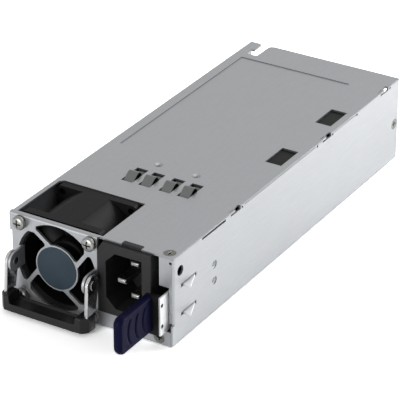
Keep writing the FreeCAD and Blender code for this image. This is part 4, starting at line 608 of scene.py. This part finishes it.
screw = {"crossWidth": 0.5, "crossReach": 0.62, "crossDepth": 0.9, "turns": 96, "crossWall": 0.2,
         "crossRamp": 0.35, "domePower": 2.6, "innerRings": 26, "innerTo": 0.7, "outerRings": 10,
         "outerFrom": 0.74}


def headSkin(radius, domeHeight, sideHeight):
    # height(r, angle) = dome - cross; the cross is deep along both axes and slopes up at its walls
    angle = np.linspace(0, 2 * math.pi, screw["turns"], endpoint=False)[:, None]
    innerShare = np.linspace(onAxis, screw["innerTo"], screw["innerRings"])
    outerShare = np.linspace(screw["outerFrom"], 1.0, screw["outerRings"])
    share = np.concatenate([innerShare, outerShare])[None, :]
    a, b = share * radius * np.cos(angle), share * radius * np.sin(angle)
    height = domeHeight * np.sqrt(np.maximum(1 - share ** screw["domePower"], 0)) + 0 * angle
    slot = np.minimum(np.abs(a), np.abs(b))
    reach = screw["crossReach"] * radius - np.maximum(np.abs(a), np.abs(b))
    inSlot = np.clip((screw["crossWidth"] / 2 - slot) / screw["crossWall"] + 0.5, 0, 1)
    height = height - screw["crossDepth"] * inSlot * np.clip(reach / screw["crossRamp"], 0, 1)
    top = np.stack([a, b, height + sideHeight], -1)
    rim = np.stack([a[:, -1:], b[:, -1:], 0 * a[:, -1:]], -1)
    return np.concatenate([top, rim], 1)


def placeSkin(skin, origin, outward):
    # Puts the head's axis along outward, with its seat at origin
    outward = np.array(outward, float)
    first = np.array([0.0, 0.0, 1.0]) if abs(outward[2]) < 0.5 else np.array([1.0, 0.0, 0.0])
    second = np.cross(outward, first)
    turned = skin[..., 0:1] * first + skin[..., 1:2] * second + skin[..., 2:3] * outward
    return (turned + np.array(origin)).reshape(-1, 3)


def ringSkin(rings):
    # Rings of (radius, height) about the screw's own axis
    angle = np.linspace(0, 2 * math.pi, screw["turns"], endpoint=False)[:, None]
    radius, height = np.array(rings).T
    return np.stack([radius * np.cos(angle), radius * np.sin(angle), height + 0 * angle], -1)


def shankSkin(radius, length):
    # Plain round shank behind the seat
    return ringSkin([(radius, 0.0), (radius, -length), (onAxis, -length)])


def skinPart(skin, origin, outward):
    # The skin's points at their place, with the quads between them
    return placeSkin(skin, origin, outward), gridQuads(skin.shape[0], skin.shape[1], closeRows=True)


panScrew = {"headRadius": 2.85, "side": 0.9, "dome": 1.05, "shank": 1.45, "spare": 0.05, "headHeight": 2.0}
low, high = nodeBox("fan_screws")
inward = panScrew["headRadius"] + panScrew["spare"]
screwX = (low[0] + inward, high[0] - inward)
screwZ = (low[2] + inward, high[2] - inward)
seat = low[1] + panScrew["headHeight"]
parts = []
for x in screwX:
    for z in screwZ:
        head = headSkin(panScrew["headRadius"], panScrew["dome"], panScrew["side"])
        shank = shankSkin(panScrew["shank"], high[1] - seat)
        parts += [skinPart(skin, (x, seat, z), (0, -1, 0)) for skin in (head, shank)]
panScrews = makePiece("panScrews", parts, "case", materials["nickel_screw"], sharp=50)
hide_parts("fan_screws")

washer = {"flatRadius": 2.85, "flatThickness": 0.4, "springRadius": 2.5, "bore": 1.6,
          "springThickness": 0.75, "rise": 0.1, "gap": 14.0, "gapTurn": 40.0, "boreBreak": 0.06,
          "rimBreak": 0.1, "turns": 60}


def splitWasher(x, z, front):
    # A flat section carried nearly once round, its two ends a little apart along the axis
    degrees = np.linspace(washer["gap"], 360 - washer["gap"], washer["turns"])
    angle = np.radians(degrees + washer["gapTurn"])
    lift = np.linspace(0, washer["rise"], len(angle))
    section = np.array([(washer["bore"], 0.0), (washer["springRadius"], 0.0),
                        (washer["springRadius"], washer["springThickness"] - washer["rise"]),
                        (washer["bore"], washer["springThickness"] - washer["rise"])])
    radius = section[None, :, 0]
    y = front + section[None, :, 1] + lift[:, None]
    ring = np.stack([x + radius * np.cos(angle)[:, None], y, z + radius * np.sin(angle)[:, None]], -1)
    return tubeOfSections(ring)


low, high = nodeBox("fan_washers")
flatFront, flatRear = high[1] - washer["flatThickness"], high[1]
bore, outer = washer["bore"], washer["flatRadius"]
boreBreak, rimBreak = washer["boreBreak"], washer["rimBreak"]
flat = [(bore, flatFront + boreBreak), (bore + boreBreak, flatFront), (outer - rimBreak, flatFront),
        (outer, flatFront + rimBreak), (outer, flatRear), (bore, flatRear), (bore, flatFront + boreBreak)]
points, quads = latheSkin(flat, washer["turns"])
parts = []
for x in screwX:
    for z in screwZ:
        parts.append((points + [x, 0, z], quads))
        parts.append(splitWasher(x, z, flatFront - washer["springThickness"]))
screwWashers = makePiece("screwWashers", parts, "case", materials["nickel_screw"], sharp=35)
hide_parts("fan_washers")

flushScrew = {"headRadius": 2.4, "shank": 1.5, "coneDepth": 1.2, "length": 4.6}


def flushScrewParts(face, outward):
    # Flat head with its cross, cone and shank; face is the middle of the head's face
    face = np.array(face, float)
    cone = ringSkin([(flushScrew["headRadius"], 0.0), (flushScrew["shank"], -flushScrew["coneDepth"])])
    return [skinPart(headSkin(flushScrew["headRadius"], 0.0, 0.0), face, outward),
            skinPart(cone, face, outward),
            skinPart(shankSkin(flushScrew["shank"], flushScrew["length"]), face, outward)]


for node, pieceName, outward in (("top_screw", "roofScrew", (0, 0, 1)),
                                 ("side_screw", "sideScrew", (1, 0, 0)),
                                 ("lip_screw", "lipScrew", (0, -1, 0))):
    low, high = nodeBox(node)
    outside = np.where(np.array(outward) > 0, high, low)
    face = np.where(np.array(outward) != 0, outside, (low + high) / 2)
    piece = makePiece(pieceName, flushScrewParts(face, outward), "case", materials["dark_screw"], sharp=35)
    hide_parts(node)
print("screws made")


# Studio: pale floor, white surround, four soft lamps

studio = {"floorSize": 12.0, "floorDrop": 0.3, "floorShade": 0.74, "seenFloorShade": 1.9, "surround": 0.4}


def seenDirectly(tree):
    # 1 for camera, mirror and glass rays, 0 for the rays that carry soft light
    path = addNode(tree, "ShaderNodeLightPath")
    seen = path.outputs["Is Camera Ray"]
    for kind in ("Is Glossy Ray", "Is Transmission Ray"):
        either = addNode(tree, "ShaderNodeMath", {0: seen, 1: path.outputs[kind]}, operation="MAXIMUM")
        seen = either.outputs[0]
    return seen


floorMesh = bpy.data.meshes.new("floor")
half = studio["floorSize"] / 2
floorHeight = -studio["floorDrop"] * mm
corners = [(x, y, floorHeight) for x, y in ((-half, -half), (half, -half), (half, half), (-half, half))]
floorMesh.from_pydata(corners, [], [(0, 1, 2, 3)])
floor = bpy.data.objects.new("floor", floorMesh)
bpy.context.scene.collection.objects.link(floor)
paper = bpy.data.materials.new("paper_floor")
paper.use_nodes = True
tree = paper.node_tree
tree.nodes.clear()
shade = addNode(tree, "ShaderNodeMix", {"Factor": seenDirectly(tree)}, data_type="FLOAT")
shade.inputs[2].default_value = studio["floorShade"]
shade.inputs[3].default_value = studio["seenFloorShade"]
matte = addNode(tree, "ShaderNodeBsdfDiffuse", {"Color": shade.outputs[0]})
addNode(tree, "ShaderNodeOutputMaterial", {"Surface": matte.outputs[0]})
floorMesh.materials.append(paper)

world = bpy.data.worlds.new("studio")
bpy.context.scene.world = world
world.use_nodes = True
tree = world.node_tree
tree.nodes.clear()
plainWhite = (1.0, 1.0, 1.0, 1.0)
soft = addNode(tree, "ShaderNodeBackground", {"Color": plainWhite, "Strength": studio["surround"]})
white = addNode(tree, "ShaderNodeBackground", {"Color": plainWhite, "Strength": 1.0})
chosen = addNode(tree, "ShaderNodeMixShader",
                 {0: seenDirectly(tree), 1: soft.outputs[0], 2: white.outputs[0]})
addNode(tree, "ShaderNodeOutputWorld", {"Surface": chosen.outputs[0]})

# The low lamps leave the roof out, as their glare would hide it in low views, and the overhead one
# lights nothing else
lamps = {
    "rightSoftbox": {"place": (1.12, 1.05, 0.2), "aim": (0.0, 0.04, 0.02), "size": 0.8, "power": 31.0,
                     "roof": "EXCLUDE"},
    "frontFill": {"place": (-0.2, -1.3, 0.36), "aim": (0.0, -0.05, 0.02), "size": 0.5, "power": 12.5,
                  "roof": "EXCLUDE"},
    "rearSoftbox": {"place": (0.12, 0.8, 0.4), "aim": (0.02, 0.14, 0.03), "size": 0.4, "power": 7.0,
                    "roof": "EXCLUDE"},
    "overheadSoftbox": {"place": (0.3, 0.6, 2.4), "aim": (0.0, 0.0, 0.02), "size": 3.0, "power": 45.0,
                        "roof": "INCLUDE"},
}
for name, lamp in lamps.items():
    light = bpy.data.lights.new(name, "AREA")
    light.shape = "SQUARE"
    light.size = lamp["size"]
    light.energy = lamp["power"]
    holder = bpy.data.objects.new(name, light)
    bpy.context.scene.collection.objects.link(holder)
    place = np.array(lamp["place"])
    toward = np.array(lamp["aim"]) - place
    holder.location = place
    holder.rotation_mode = "QUATERNION"
    holder.rotation_quaternion = Vector(toward).to_track_quat("-Z", "Y")
    roofLight = bpy.data.collections.new(name + "Roof")
    roofLight.objects.link(softPieces["top_cover"])
    roofLight.collection_objects[0].light_linking.link_state = lamp["roof"]
    holder.light_linking.receiver_collection = roofLight

# Camera: fitted to the case's corners in the photograph, image 400 x 400
view = {"azimuth": 31.321, "elevation": 28.303, "place": (441.04, -736.74, 473.05), "lens": 214.11,
        "sensor": 36.0, "nearest": 0.05, "farthest": 50.0}
a, e = math.radians(view["azimuth"]), math.radians(view["elevation"])
looking = Vector((-math.sin(a) * math.cos(e), math.cos(a) * math.cos(e), -math.sin(e)))
camera = bpy.data.cameras.new("camera")
camera.sensor_width = view["sensor"]
camera.lens = view["lens"]
camera.clip_start = view["nearest"]
camera.clip_end = view["farthest"]
cameraObject = bpy.data.objects.new("camera", camera)
bpy.context.scene.collection.objects.link(cameraObject)
cameraObject.location = [p * mm for p in view["place"]]
cameraObject.rotation_mode = "QUATERNION"
cameraObject.rotation_quaternion = looking.to_track_quat("-Z", "Y")
bpy.context.scene.camera = cameraObject
bpy.context.scene.view_settings.view_transform = "Standard"
print("studio and camera set")
